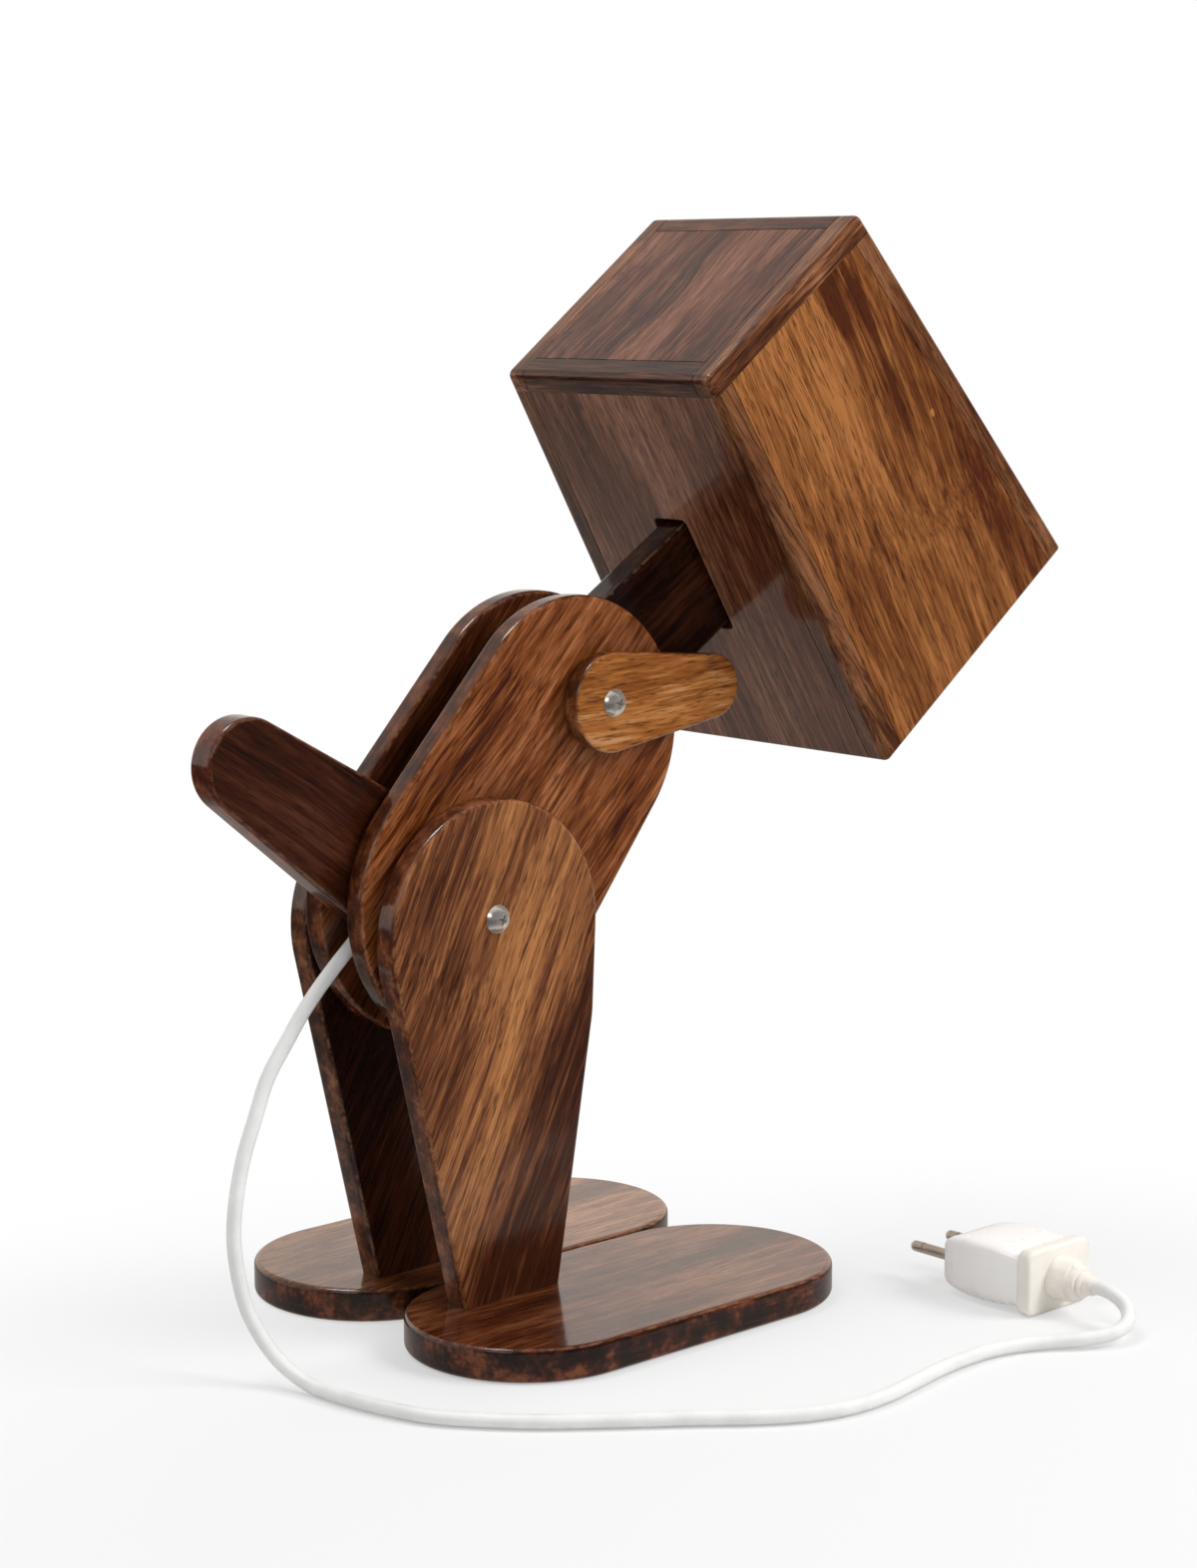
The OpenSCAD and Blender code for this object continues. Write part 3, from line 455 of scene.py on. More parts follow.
goldenFace = ("#391a0b", "#5f341c", "#78482a", "#915c35", "#b07646")
warmFace = ("#3d170a", "#6a3512", "#7b4421", "#8d532f", "#ab6c44")
paleFace = ("#67320f", "#80481b", "#905624", "#a2652f", "#b58255")
amberFace = ("#4c220d", "#683817", "#794822", "#8a542a", "#a26838")
darkFace = ("#1d0805", "#2f1205", "#371709", "#411e0e", "#4d291a")
# a near-black brown, which on the far leg and the neck also paints the shade that falls there
shadedUmberFace = ("#120503", "#1d0a04", "#2a1007", "#38180a", "#4d2616")
curlyFace = ("#2e1008", "#4b2416", "#623625", "#774834", "#916048")
underFace = ("#4a2412", "#5c331e", "#6c412b", "#7c5039", "#94674c")
darkRim = ("#1c0a05", "#36160a", "#48210f", "#5c2f18", "#7a4628")
# Widths are in mm across the grain. Pores are a little wider than real ones, so that they still show
plainWood = {
    "centre": (0, 0, 0), "grain": (0, 0, 0), "faceNormal": (0, 1, 0), "drift": 7, "driftLength": 90,
    "zoneWidth": 28, "zoneStretch": 5, "bandWidth": 6, "bandStretch": 8, "lineWidth": 1.6, "lineStretch": 18,
    "fibreWidth": 0.75, "fibreStretch": 20, "poreWidth": 0.65, "poreStretch": 11, "cloudWidth": 9,
    "patchWidth": 3.5, "zonesShare": 0.9, "bandsShare": 0.7, "linesShare": 0.9, "fibresShare": 0.5,
    "heart": None, "heartShare": 0.0, "spots": [], "spread": 0.26, "face": warmFace, "rim": darkRim,
    # the pale arris colour and its share paint real scuffing and, in part, a highlight along the arrises
    "rimShare": 0.9, "rimPatches": 1.8, "pore": "#220d06", "pores": 0.55, "wornAndHighlit": "#a97f5e", "wear": 0.3,
    "roughness": 0.45, "sheen": 0.06, "grainDepth": 0.12, "lacquer": 0.9, "lacquerRoughness": 0.11,
    "brushDepth": 0.08, "ripple": 0.12}


def wood(name, **changes):
    return lacqueredRosewood(name, {**plainWood, **changes})


# Each board of the same rosewood gets its own place in the grain and its own shades, so that the lamp shows
# golden legs, red-brown plates, pale arms, a dark tail and neck, and a head with knots and a curly back.
# Darker shades on the far leg, the far plate and the neck paint in the shade that falls on them between the
# other parts, on the leg and neck over wood that is dark anyway; lighter shades on the far foot partly paint
# the sheen on its top
legWood = wood("rosewoodLeg", centre=inMetres(-78, -24, 85), grain=(0, -65, 0), face=goldenFace,
               rim=("#220e07", "#3c1a0c", "#502614", "#66361e", "#825034"),
               heart=[(-48, 0.25), (-26, 0.36), (-10, 0.45), (10, 0.64), (26, 0.46), (40, 0.52), (60, 0.42)],
               heartShare=1.1, bandWidth=6, bandStretch=12, lineStretch=34,
               spots=[(inMetres(-60, -29, 20), 30, 1.5, -0.26), (inMetres(-84, -29, 24), 12, 3, -0.3),
                      (inMetres(-100, -29, 168), 12, 3, -0.12)])
# the far leg's visible inner face gets near-black shades: partly dark wood, partly painted shade cast by the
# near leg and the torso
farLegShadedWood = wood("rosewoodFarLegShaded", centre=inMetres(-78, 24, 85), grain=(0, -62, 0), face=shadedUmberFace,
                  rim=("#241009", "#3e2014", "#55301e", "#6b4029", "#8a5a3c"))
plateWood = wood("rosewoodPlate", centre=inMetres(-47, -12, 180), grain=(0, -47, 0), zonesShare=0.5,
                 bandWidth=4.5, linesShare=0.8)
armWood = wood("rosewoodArm", centre=inMetres(5, -21, 217), grain=(0, -3, 0), face=paleFace, bandWidth=4,
               rim=("#200d06", "#431f10", "#5e3018", "#754224", "#946040"), wear=0.35)
tailWood = wood("rosewoodTail", centre=inMetres(-110, 0, 170), grain=(0, 34.5, 0), face=darkFace, wear=0.2,
                rim=("#2a0f08", "#43190d", "#552414", "#68331f", "#7d4a33"))
# the far plate gets darker shades than the near one: painted shade in the gap between the plates
farPlateShadedWood = wood("rosewoodFarPlateShaded", centre=inMetres(-47, 12, 180), grain=(0, -49, 0),
                    face=("#270e07", "#43200f", "#532a15", "#67381f", "#80502f"))
# the neck gets near-black shades and rims: partly dark wood, partly painted shade under the overhanging head
neckShadedWood = wood("rosewoodNeckShaded", centre=inMetres(20, 0, 240), grain=(0, -33, 0), face=shadedUmberFace,
                rim=("#0a0302", "#150704", "#1e0c07", "#2b150d", "#43271b"))
footRim = ("#0c0302", "#1d0904", "#2e1109", "#471f10", "#733f25")
footWood = wood("rosewoodFoot", centre=inMetres(-30, -43, 6), grain=(0, 0, 0), faceNormal=(0, 0, 1),
                face=("#351407", "#4c220f", "#603118", "#744226", "#8c5d3b"), rim=footRim, rimPatches=2.5)
# the far foot gets lighter shades than the near one: partly lighter wood, partly a painted sheen of the white
# backdrop on its top
farFootSheenWood = wood("rosewoodFarFootSheen", centre=inMetres(-30, 43, 6), grain=(0, 0, 2), faceNormal=(0, 0, 1),
                   face=("#451f0e", "#60351c", "#764729", "#8a5a37", "#a0734f"), rim=footRim,
                   rimPatches=2.5)


def headWood(name, **changes):
    # flush pieces, which show no dark rims and no pale arrises, neither scuffed nor with a painted highlight
    return wood(name, **{"centre": inMetres(35, 0, 358), "rimShare": 0.0, "wear": 0.0, **changes})


postWood = headWood("rosewoodPost", grain=(0, 52.6, 0),
                    face=("#34180e", "#4e2914", "#5e361e", "#704628", "#86583b"))
railWood = headWood("rosewoodRail", grain=(0, -37.4, 0),
                    face=("#35180d", "#56301c", "#6c4128", "#835438", "#a37152"))
crossRailWood = headWood("rosewoodCrossRail", grain=(0, 0, 90),
                         face=("#241009", "#3e2014", "#4c2a1a", "#5e3826", "#7a5038"))
backWood = headWood("rosewoodBack", grain=(0, -37.4, 0), face=curlyFace, drift=14, driftLength=60, bandWidth=7,
                    bandStretch=7, lineStretch=26)
sideWood = headWood("rosewoodSide", centre=inMetres(88, -57, 290), grain=(0, 62, 0), face=amberFace, drift=8,
                    driftLength=80, bandStretch=12, lineStretch=30, zonesShare=0.7,
                    heart=[(-70, 0.6), (-30, 0.5), (5, 0.55), (32, 0.42), (60, 0.3)], heartShare=0.7,
                    spots=[(inHead(14, -54, 18), 7, 3.5, -0.6), (inHead(26, -55, 27), 5, 4, -0.5),
                           (inHead(40, -55, 41), 6, 5, -0.4), (inHead(62, -56, 20), 6, 5, -0.3),
                           (inHead(33, -55, 40), 2.6, 1.6, 1.2), (inHead(79, -57, 31), 1.8, 1.3, 1.2)])
underWood = headWood("rosewoodUnder", centre=inMetres(40, 0, 270), grain=(0, 58.6, 0), face=underFace,
                     bandWidth=5, bandStretch=12, lineStretch=30, linesShare=1.0, pores=0.7)


def plainFinish(name, colour, roughness, metallic=0.0, grit=0.4, bumpHeight=0.02, variation=0.06, coat=0.0):
    # Metal, plastic or porcelain: an even colour, a shine with soft clouds in it, and a fine grit, in mm
    material, tree, shader = newMaterial(name)
    coords = addNode(tree, "TexCoord").outputs["Object"]
    cloud = noise(tree, coords, 9, 2.0)["Fac"]
    base = linearColour(colour)[:3]
    darker = [c * (1 - variation) for c in base] + [1.0]
    lighter = [min(1.0, c * (1 + variation * 0.5)) for c in base] + [1.0]
    feed(tree, shader, Base_Color=ramp(tree, cloud, zip(cloudPlaces, (darker, lighter))),
         Roughness=mapRange(tree, cloud, *cloudPlaces, roughness * 0.8, roughness * 1.2), Metallic=metallic,
         Normal=bumps(tree, noise(tree, coords, grit, 3.0)["Fac"], bumpHeight, 0.3), IOR=1.5, Coat_Weight=coat)
    return material


finishes = {
    # bright domes in which the cross recess shows dark, and a cool grey glint
    "bolt_steel": plainFinish("polishedStainless", "#f6f1e8", 0.2, metallic=0.82),
    "screw_steel": plainFinish("zincPlatedSteel", "#b5b3ae", 0.32, metallic=1.0),
    # dull blacks without a sharp highlight, and a red dot on the black switch
    "washer_nylon": plainFinish("blackNylon", "#17140f", 0.45),
    "switch_plastic": plainFinish("mouldedAbsBlack", "#1b1a18", 0.4),
    "plunger_plastic": plainFinish("mouldedAbsRed", "#a83222", 0.35),
    "lead_sleeve": plainFinish("blackPvcSleeve", "#1c1b1a", 0.45),
    "ear_steel": plainFinish("blackPowderCoat", "#35342f", 0.5, grit=0.5, bumpHeight=0.06),
    # creamy glaze with sharp highlights, warm silver, and two smooth whites
    "holder_ceramic": plainFinish("glazedPorcelain", "#ece8dc", 0.18, coat=0.4),
    "cap_metal": plainFinish("nickelPlatedBrass", "#bdb7a8", 0.25, metallic=1.0),
    "bulb_plastic": plainFinish("mouldedPolycarbonate", "#efeee9", 0.35),
    "bulb_diffuser": plainFinish("opalDiffuser", "#f4f1e6", 0.4),
    # a soft white with a broad sheen, a clean glossy white, a warmer and duller one, and bright warm pins
    "cord_pvc": plainFinish("whitePvcCord", "#e9e9e7", 0.42, grit=2.0),
    "plug_white": plainFinish("glossWhiteThermoplastic", "#f7f5f3", 0.3, grit=2.5, bumpHeight=0.01,
                              variation=0.02),
    "plug_cream": plainFinish("creamThermoplastic", "#f2ece3", 0.42, grit=2.0),
    "pin_nickel": plainFinish("nickelPlatedPin", "#d2c8ba", 0.38, metallic=1.0)}
print("materials made")


# ---- cord: from the switch's collar down behind the legs, along the floor and round into the plug
cordSetup = {"diameter": 5.0, "steps": 6, "roundness": 5}
switchMouth = fromPivot(hip, -28.3, 20.5, lean["switch"])
switchBend = fromPivot(hip, -33.3, 20.5, lean["switch"])
cordRoute = [
    (-124.5, 0, 134), (-132, 0, 127), (-139.5, 0, 119), (-146.5, 0, 110), (-154.5, 0, 99),
    (-160.5, -1, 87), (-166.5, -2, 74), (-170.5, -3, 61), (-172.5, -4, 48), (-172.5, -6, 36),
    (-171.5, -9, 25), (-169.5, -14, 16), (-167.5, -21, 9), (-165.5, -30, 4.5), (-164, -40, 2.5),
    (-162.5, -52, 2.5), (-159.5, -65, 2.5), (-153.5, -82, 2.5), (-143.5, -96, 2.5), (-131.5, -109, 2.5),
    (-117.5, -121, 2.5), (-103.5, -132, 2.5), (-89.5, -143, 2.5), (-76.5, -154, 2.5), (-62.5, -163, 2.5),
    (-47.5, -168, 2.5), (-31.5, -168.5, 2.5), (-15.5, -166, 2.5), (0.5, -163, 2.5), (16.5, -161.5, 2.5),
    (29.5, -162, 2.5), (40.5, -165, 2.5), (50.5, -170.5, 2.8), (59.5, -177.5, 3.4), (68.5, -182, 4.6),
    (76.5, -181.5, 6.2), (82.5, -177, 8.4), (85.1, -171, 10.6), (85.5, -165, 12), (85.5, -160, 12)]


def makeCord(setup):
    points = [Vector((switchMouth[0], 0, switchMouth[1])), Vector((switchBend[0], 0, switchBend[1]))]
    points += [Vector(inMetres(*place)) for place in cordRoute]
    curve = bpy.data.curves.new("cord", "CURVE")
    curve.dimensions = "3D"
    spline = curve.splines.new("BEZIER")
    spline.bezier_points.add(len(points) - 1)
    for number, (knot, point) in enumerate(zip(spline.bezier_points, points)):
        before, after = points[max(number - 1, 0)], points[min(number + 1, len(points) - 1)]
        heading = after - before
        if point.z < mm(setup["diameter"] / 2 + 0.01):
            heading.z = 0.0   # on the floor it runs level
        heading.normalize()
        knot.handle_left_type = knot.handle_right_type = "FREE"
        knot.co = point
        knot.handle_left = point - heading * (point - before).length / 3
        knot.handle_right = point + heading * (after - point).length / 3
    spline.resolution_u = setup["steps"]
    curve.bevel_depth = mm(setup["diameter"]) / 2
    curve.bevel_resolution = setup["roundness"]
    curve.use_fill_caps = True
    cord = addObject("cord", curve)
    length = spline.calc_length()
    # its middle line is read from a copy without thickness
    plain = curve.copy()
    plain.bevel_depth = 0
    line = addObject("line", plain)
    bpy.context.view_layer.update()
    mesh = bpy.data.meshes.new_from_object(line.evaluated_get(bpy.context.evaluated_depsgraph_get()))
    path = [v.co.copy() for v in mesh.vertices]
    bpy.data.objects.remove(line)
    pick(cord)
    bpy.ops.object.convert(target="MESH")
    cord = bpy.context.object
    cord.name = cord.data.name = "cord"
    bpy.ops.object.shade_smooth()
    startEditing(cord)
    endEditing()
    cord.data.materials.clear()
    cord.data.materials.append(finishes["cord_pvc"])
    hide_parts("cord_drop", "cord_run")
    print("cord length", round(length, 4))
    return cord, path, length


cord, cordPath, cordLength = makeCord(cordSetup)
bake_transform(cord)
print("cord laid")


# ---- feet
footSetup = {"length": 175.0, "width": 86.0, "thickness": 12.0, "heel": -120.417, "side": 43.5, "rounding": 2.0}


def makeFoot(name, side, body, node, material):
    s = footSetup
    radius = s["width"] / 2
    rounds = [inMetres(end, side * s["side"], radius)
              for end in (s["heel"] + radius, s["heel"] + s["length"] - radius)]
    foot = boardFromRounds(name, rounds, s["thickness"], s["thickness"] / 2, s["rounding"], lying=True)
    finishPiece(foot, body, "foot_wood", material, node)


makeFoot("rightFoot", -1, "right_leg", "right_foot", footWood)
makeFoot("leftFoot", 1, "left_leg", "left_foot", farFootSheenWood)
print("feet modelled")


# ---- legs
legSetup = {"inner": 19.0, "thickness": 10.0, "ankle": -135.0, "rounding": 2.0,
            "rounds": [(0, -4.5, 46.0), (4.5, -35.0, 40.0), (-13.5, -135.0, 3.0), (24.5, -135.0, 3.0)]}


def makeLeg(name, side, body, node, bore, material):
    x, z = fromPivot(hip, 0, legSetup["ankle"])
    leg = sideBoard(name, legSetup, side, hip, trims=[((x, 0, z), (0, 0, -1))])
    drill(leg, fromPivot(hip, 0, 0), bore)
    finishPiece(leg, body, "leg_wood", material, node)


makeLeg("rightLeg", -1, "right_leg", "right_leg", bores["bolt"], legWood)
makeLeg("leftLeg", 1, "left_leg", "left_leg", bores["barrel"], farLegShadedWood)
print("legs modelled")


# ---- torso plates
plateSetup = {"inner": 7.0, "thickness": 9.0, "rounding": 2.0, "bolts": (0.0, 90.3),
              "rounds": [(5.3, 1.2, 51.5), (75.7, 1.2, 48.5)]}


def makePlate(name, side, node, material):
    plate = sideBoard(name, plateSetup, side, hip, lean["torso"])
    for reach in plateSetup["bolts"]:
        drill(plate, fromPivot(hip, reach, 0, lean["torso"]), bores["bolt"])
    finishPiece(plate, "torso", "plate_wood", material, node)


makePlate("rightSidePlate", -1, "right_side_plate", plateWood)
makePlate("leftSidePlate", 1, "left_side_plate", farPlateShadedWood)
print("torso modelled")


# ---- bolts on the right and sleeve nuts on the left, both with domed cross-recessed heads
boltSetup = {"headRadius": 5.1, "headHeight": 3.2, "shaft": 3.0, "chamfer": 0.5, "endGap": 2.5, "barrel": 4.2,
             "barrelFloor": 2.0, "domeSteps": 10, "recessLength": 5.4, "recessWidth": 1.3, "recessDepth": 1.9,
             "recessTurns": (20, 110), "recessTaper": 0.45,
             "hip": {"reach": 29.0, "barrelLength": 10.0}, "shoulder": {"reach": 24.5, "barrelLength": 7.0}}


def domeProfile(reach):
    s = boltSetup
    dome = (s["headRadius"] ** 2 + s["headHeight"] ** 2) / (2 * s["headHeight"])
    widest = math.asin(s["headRadius"] / dome)
    turns = [widest * (step + 0.4) / (s["domeSteps"] + 0.4) for step in range(s["domeSteps"] + 1)]
    return [(-reach - s["headHeight"] + dome * (1 - math.cos(turn)), dome * math.sin(turn)) for turn in turns]


def cutRecess(piece, middle, top, inwards):
    # One bar of the cross after the other, each narrower at its bottom
    s = boltSetup
    x, z = inMetres(*middle)
    size = inMetres(s["recessLength"], 2 * s["recessDepth"], s["recessWidth"])
    for turn in s["recessTurns"]:
        cutter = addBox((x, mm(top), z), size, (0, math.radians(turn), 0))
        startEditing(cutter)
        selectEdges(cutter, lambda edge: all((v.co.y - mm(top)) * inwards > 0 for v in edge.verts))
        bpy.ops.transform.resize(value=(s["recessTaper"], 1, s["recessTaper"]), center_override=(x, 0, z))
        selectNothing()
        combine(piece, cutter)


def makeBolt(name, middle, size, body, node):
    s, reach = boltSetup, size["reach"]
    tip = reach - s["endGap"]
    profile = domeProfile(reach)
    profile += [(-reach, s["shaft"]), (tip - s["chamfer"], s["shaft"]), (tip, s["shaft"] - s["chamfer"])]
    bolt = turnedPiece(name, middle, profile)
    cutRecess(bolt, middle, -reach - s["headHeight"], 1)
    finishPiece(bolt, body, "bolt_steel", finishes["bolt_steel"], node, smoothAngle=30)


def makeSleeveNut(name, middle, size, body, node):
    s, reach = boltSetup, size["reach"]
    mouth = reach - size["barrelLength"]
    bore = s["shaft"] + 0.05
    profile = [(-y, r) for y, r in domeProfile(reach)]
    profile += [(reach, s["barrel"]), (mouth, s["barrel"]), (mouth, bore), (reach - s["barrelFloor"], bore)]
    nut = turnedPiece(name, middle, profile)
    cutRecess(nut, middle, reach + s["headHeight"], -1)
    finishPiece(nut, body, "bolt_steel", finishes["bolt_steel"], node, smoothAngle=30)


makeBolt("hipBolt", hip, boltSetup["hip"], "right_leg", "hip_bolt")
makeSleeveNut("hipNut", hip, boltSetup["hip"], "right_leg", "hip_nut")
makeBolt("shoulderBolt", shoulder, boltSetup["shoulder"], "torso", "shoulder_bolt")
makeSleeveNut("shoulderNut", shoulder, boltSetup["shoulder"], "torso", "shoulder_nut")
print("bolts modelled")


# ---- tail: a thick lever on the hip bolt, whose straight root rests on the switch's plunger
tailSetup = {"thickness": 12.0, "root": 26.0, "tip": 16.7, "reach": 103.6, "rounding": 2.0, "rest": 27.8,
             "hub": 14.0, "hubHalf": 5.8, "hubRounding": 0.3, "stemCorner": 0.4, "stemRounding": 0.2,
             "stem": [(-6, 0), (-6, 35.8), (12, 35.8), (15.5, 27.8), (12, 6)]}


def makeTail():
    s = tailSetup
    rounds = roundsAt(hip, [(0, 0, s["root"])]) + roundsAt(hip, [(s["reach"], 0, s["tip"])], lean["tail"])
    x, z = fromPivot(hip, 0, s["rest"], lean["switch"])
    across, up = turned(0, -1, lean["switch"])
    tail = boardFromRounds("tailBoard", rounds, s["thickness"], 0.0, s["rounding"],
                           trims=[((x, 0, z), (across, 0, up))])
    hub = roundsAt(hip, [(0, 0, s["hub"])])
    stem = roundsAt(hip, [(x, z, s["stemCorner"]) for x, z in s["stem"]], lean["switch"])
    combine(tail, boardFromRounds("hub", hub, 2 * s["hubHalf"], 0.0, s["hubRounding"]), "UNION")
    combine(tail, boardFromRounds("stem", stem, 2 * s["hubHalf"], 0.0, s["stemRounding"]), "UNION")
    drill(tail, fromPivot(hip, 0, 0), bores["bolt"])
    finishPiece(tail, "tail", "tail_wood", tailWood, "tail")


makeTail()
print("tail modelled")


# ---- arms
armSetup = {"inner": 17.5, "thickness": 7.0, "rounding": 1.6, "rounds": [(0, 0, 18.0), (49.5, 0, 11.7)]}


def makeArm(name, side, node, bore):
    arm = sideBoard(name, armSetup, side, shoulder, lean["arm"])
    drill(arm, fromPivot(shoulder, 0, 0), bore)
    finishPiece(arm, node, "arm_wood", armWood, node)


makeArm("rightArm", -1, "right_arm", bores["bolt"])
makeArm("leftArm", 1, "left_arm", bores["barrel"])
print("arms modelled")


# ---- neck
neckSetup = {"width": 45.0, "thickness": 12.0, "length": 99.5, "rounding": 2.0, "corner": 3.0, "pivot": 88.506,
             "groove": 3.2, "grooveLength": 400.0, "leadDrop": 8.0}


def makeNeck():
    s = neckSetup
    half, corner, end = s["width"] / 2, s["corner"], s["length"] - s["corner"]
    rounds = roundsAt(shoulder, [(0, 0, half), (end, half - corner, corner), (end, corner - half, corner)],
                      lean["neck"])
    neck = boardFromRounds("neckBoard", rounds, s["thickness"], 0.0, s["rounding"])
    drill(neck, fromPivot(shoulder, 0, 0), bores["bolt"])
    drill(neck, fromPivot(shoulder, s["pivot"], 0, lean["neck"]), bores["pivot"])
    # the lead to the lamp holder lies in a groove along the left face
    x, z = fromPivot(shoulder, 0, -s["leadDrop"], lean["neck"])
    size = inMetres(s["grooveLength"], 2 * s["groove"], s["groove"])
    combine(neck, addBox((x, mm(s["thickness"] / 2), z), size, (0, -math.radians(lean["neck"]), 0)))
    finishPiece(neck, "neck", "neck_wood", neckShadedWood, "neck")


makeNeck()
print("neck modelled")


# ---- head: one tapered blank is cut into rails, posts and panels, all flush on the outside
headSetup = {"depth": 164.5, "backHeight": 94.0, "backWidth": 107.5, "frontHeight": 121.0, "frontWidth": 119.8,
             "drop": 3.9, "rounding": 2.6, "frontShare": 0.58, "roundSteps": 5, "panel": 7.0, "post": 9.0,
             "rail": 8.0, "joint": 0.25, "gap": 0.1, "sharpAngle": 50,
             "slotPlace": 85.5, "slotLength": 49.0, "slotWidth": 17.0, "slotHeight": 30.0, "slotRound": 2.5}


def headBlank():
    s = headSetup
    blank = addBox(inMetres(s["depth"] / 2, 0, 0), inMetres(s["depth"], s["backWidth"], s["backHeight"]))
    startEditing(blank)
    selectEdges(blank, lambda edge: all(v.co.x > mm(s["depth"] / 2) for v in edge.verts))
    bpy.ops.transform.resize(value=(1, s["frontWidth"] / s["backWidth"], s["frontHeight"] / s["backHeight"]),
                             center_override=(mm(s["depth"]), 0, 0))
    bpy.ops.transform.translate(value=(0, 0, -mm(s["drop"])))
    selectNothing()
    # the back is rounded over more than the open front
    mesh = blank.data
    weights = mesh.attributes.new("bevel_weight_edge", "FLOAT", "EDGE").data
    for edge in mesh.edges:
        atFront = all(mesh.vertices[v].co.x > mm(s["depth"] / 2) for v in edge.vertices)
        weights[edge.index].value = s["frontShare"] if atFront else 1.0
    useModifier(blank, "BEVEL", width=mm(s["rounding"]), segments=s["roundSteps"], limit_method="WEIGHT")
    return blank


def headSlope(front, back, drop=0.0):
    return (front / 2 + drop - back / 2) / headSetup["depth"]


headMould = headBlank()
slopes = {"side": headSlope(headSetup["frontWidth"], headSetup["backWidth"]),
          "top": headSlope(headSetup["frontHeight"], headSetup["backHeight"], -headSetup["drop"]),
          "low": headSlope(headSetup["frontHeight"], headSetup["backHeight"], headSetup["drop"])}


def headPlane(face, inset):
    s = headSetup
    return {"right": ((0, mm(inset - s["backWidth"] / 2), 0), (-slopes["side"], -1, 0)),
            "left": ((0, mm(s["backWidth"] / 2 - inset), 0), (-slopes["side"], 1, 0)),
            "top": ((0, 0, mm(s["backHeight"] / 2 - inset)), (-slopes["top"], 0, 1)),
            "low": ((0, 0, mm(inset - s["backHeight"] / 2)), (-slopes["low"], 0, -1)),
            "depth": ((mm(inset), 0, 0), (1, 0, 0))}[face]


def cutFromHead(name, inside, outside):
    # inside keeps what lies between a plane and the head's middle, outside what lies beyond it
    piece = addObject(name, headMould.data.copy())
    piece.data.name = name
    startEditing(piece)
    for face, inset in inside:
        cutAway(*headPlane(face, inset + headSetup["gap"]))
    for face, inset in outside:
        point, normal = headPlane(face, inset - headSetup["gap"])
        cutAway(point, [-v for v in normal])
    sharp = math.radians(headSetup["sharpAngle"])
    selectEdges(piece, lambda edge: len(edge.link_faces) == 2 and edge.calc_face_angle() > sharp)
    roundEdges(headSetup["joint"], 2)
    endEditing()
    return piece


def cutNeckSlot(piece):
    s = headSetup
    centre = inMetres(s["slotPlace"], 0, -s["backHeight"] / 2 - s["slotPlace"] * slopes["low"])
    cutter = addBox(centre, inMetres(s["slotLength"], s["slotWidth"], s["slotHeight"]),
                    (0, math.atan(slopes["low"]), 0))
    startEditing(cutter)
    # only its four upright corners are longer than this from top to bottom
    selectEdges(cutter, lambda edge: abs(edge.verts[0].co.z - edge.verts[1].co.z) > mm(20))
    roundEdges(s["slotRound"], s["roundSteps"])
    selectNothing()
    combine(piece, cutter)


def makeHeadPiece(name, slot, material, node, inside=(), outside=(), slotted=False):
    piece = cutFromHead(name, inside, outside)
    if slotted:
        cutNeckSlot(piece)
    piece.rotation_euler = (0, math.radians(lean["head"]), 0)
    piece.location = (mm(headBack[0]), 0, mm(headBack[1]))
    finishPiece(piece, "head", slot, material, node)


post, rail, panel = headSetup["post"], headSetup["rail"], headSetup["panel"]
sides, levels = [("right", post), ("left", post)], [("top", post), ("low", post)]
for side, inset in sides:
    makeHeadPiece(side + "HeadRail", "post_wood", railWood, "head_side_rails",
                  [("depth", rail)], [(side, inset)])
    for level in levels:
        makeHeadPiece(side + level[0].capitalize() + "Post", "post_wood", postWood, "head_posts",
                      outside=[(side, inset), level, ("depth", rail)])
    makeHeadPiece(side + "HeadPanel", "side_wood", sideWood, "head_" + side + "_panel", levels,
                  [(side, panel), ("depth", rail)])
for level in levels:
    makeHeadPiece(level[0] + "HeadRail", "post_wood", crossRailWood, "head_cross_rails",
                  sides + [("depth", rail)], [level])
makeHeadPiece("backHeadPanel", "back_wood", backWood, "head_back_panel", sides + levels + [("depth", panel)])
makeHeadPiece("topHeadPanel", "back_wood", underWood, "head_top_panel", sides,
              [("top", panel), ("depth", rail)])
makeHeadPiece("underHeadPanel", "under_wood", underWood, "head_bottom_panel", sides,
              [("low", panel), ("depth", rail)], slotted=True)
bpy.data.objects.remove(headMould)
print("head modelled")


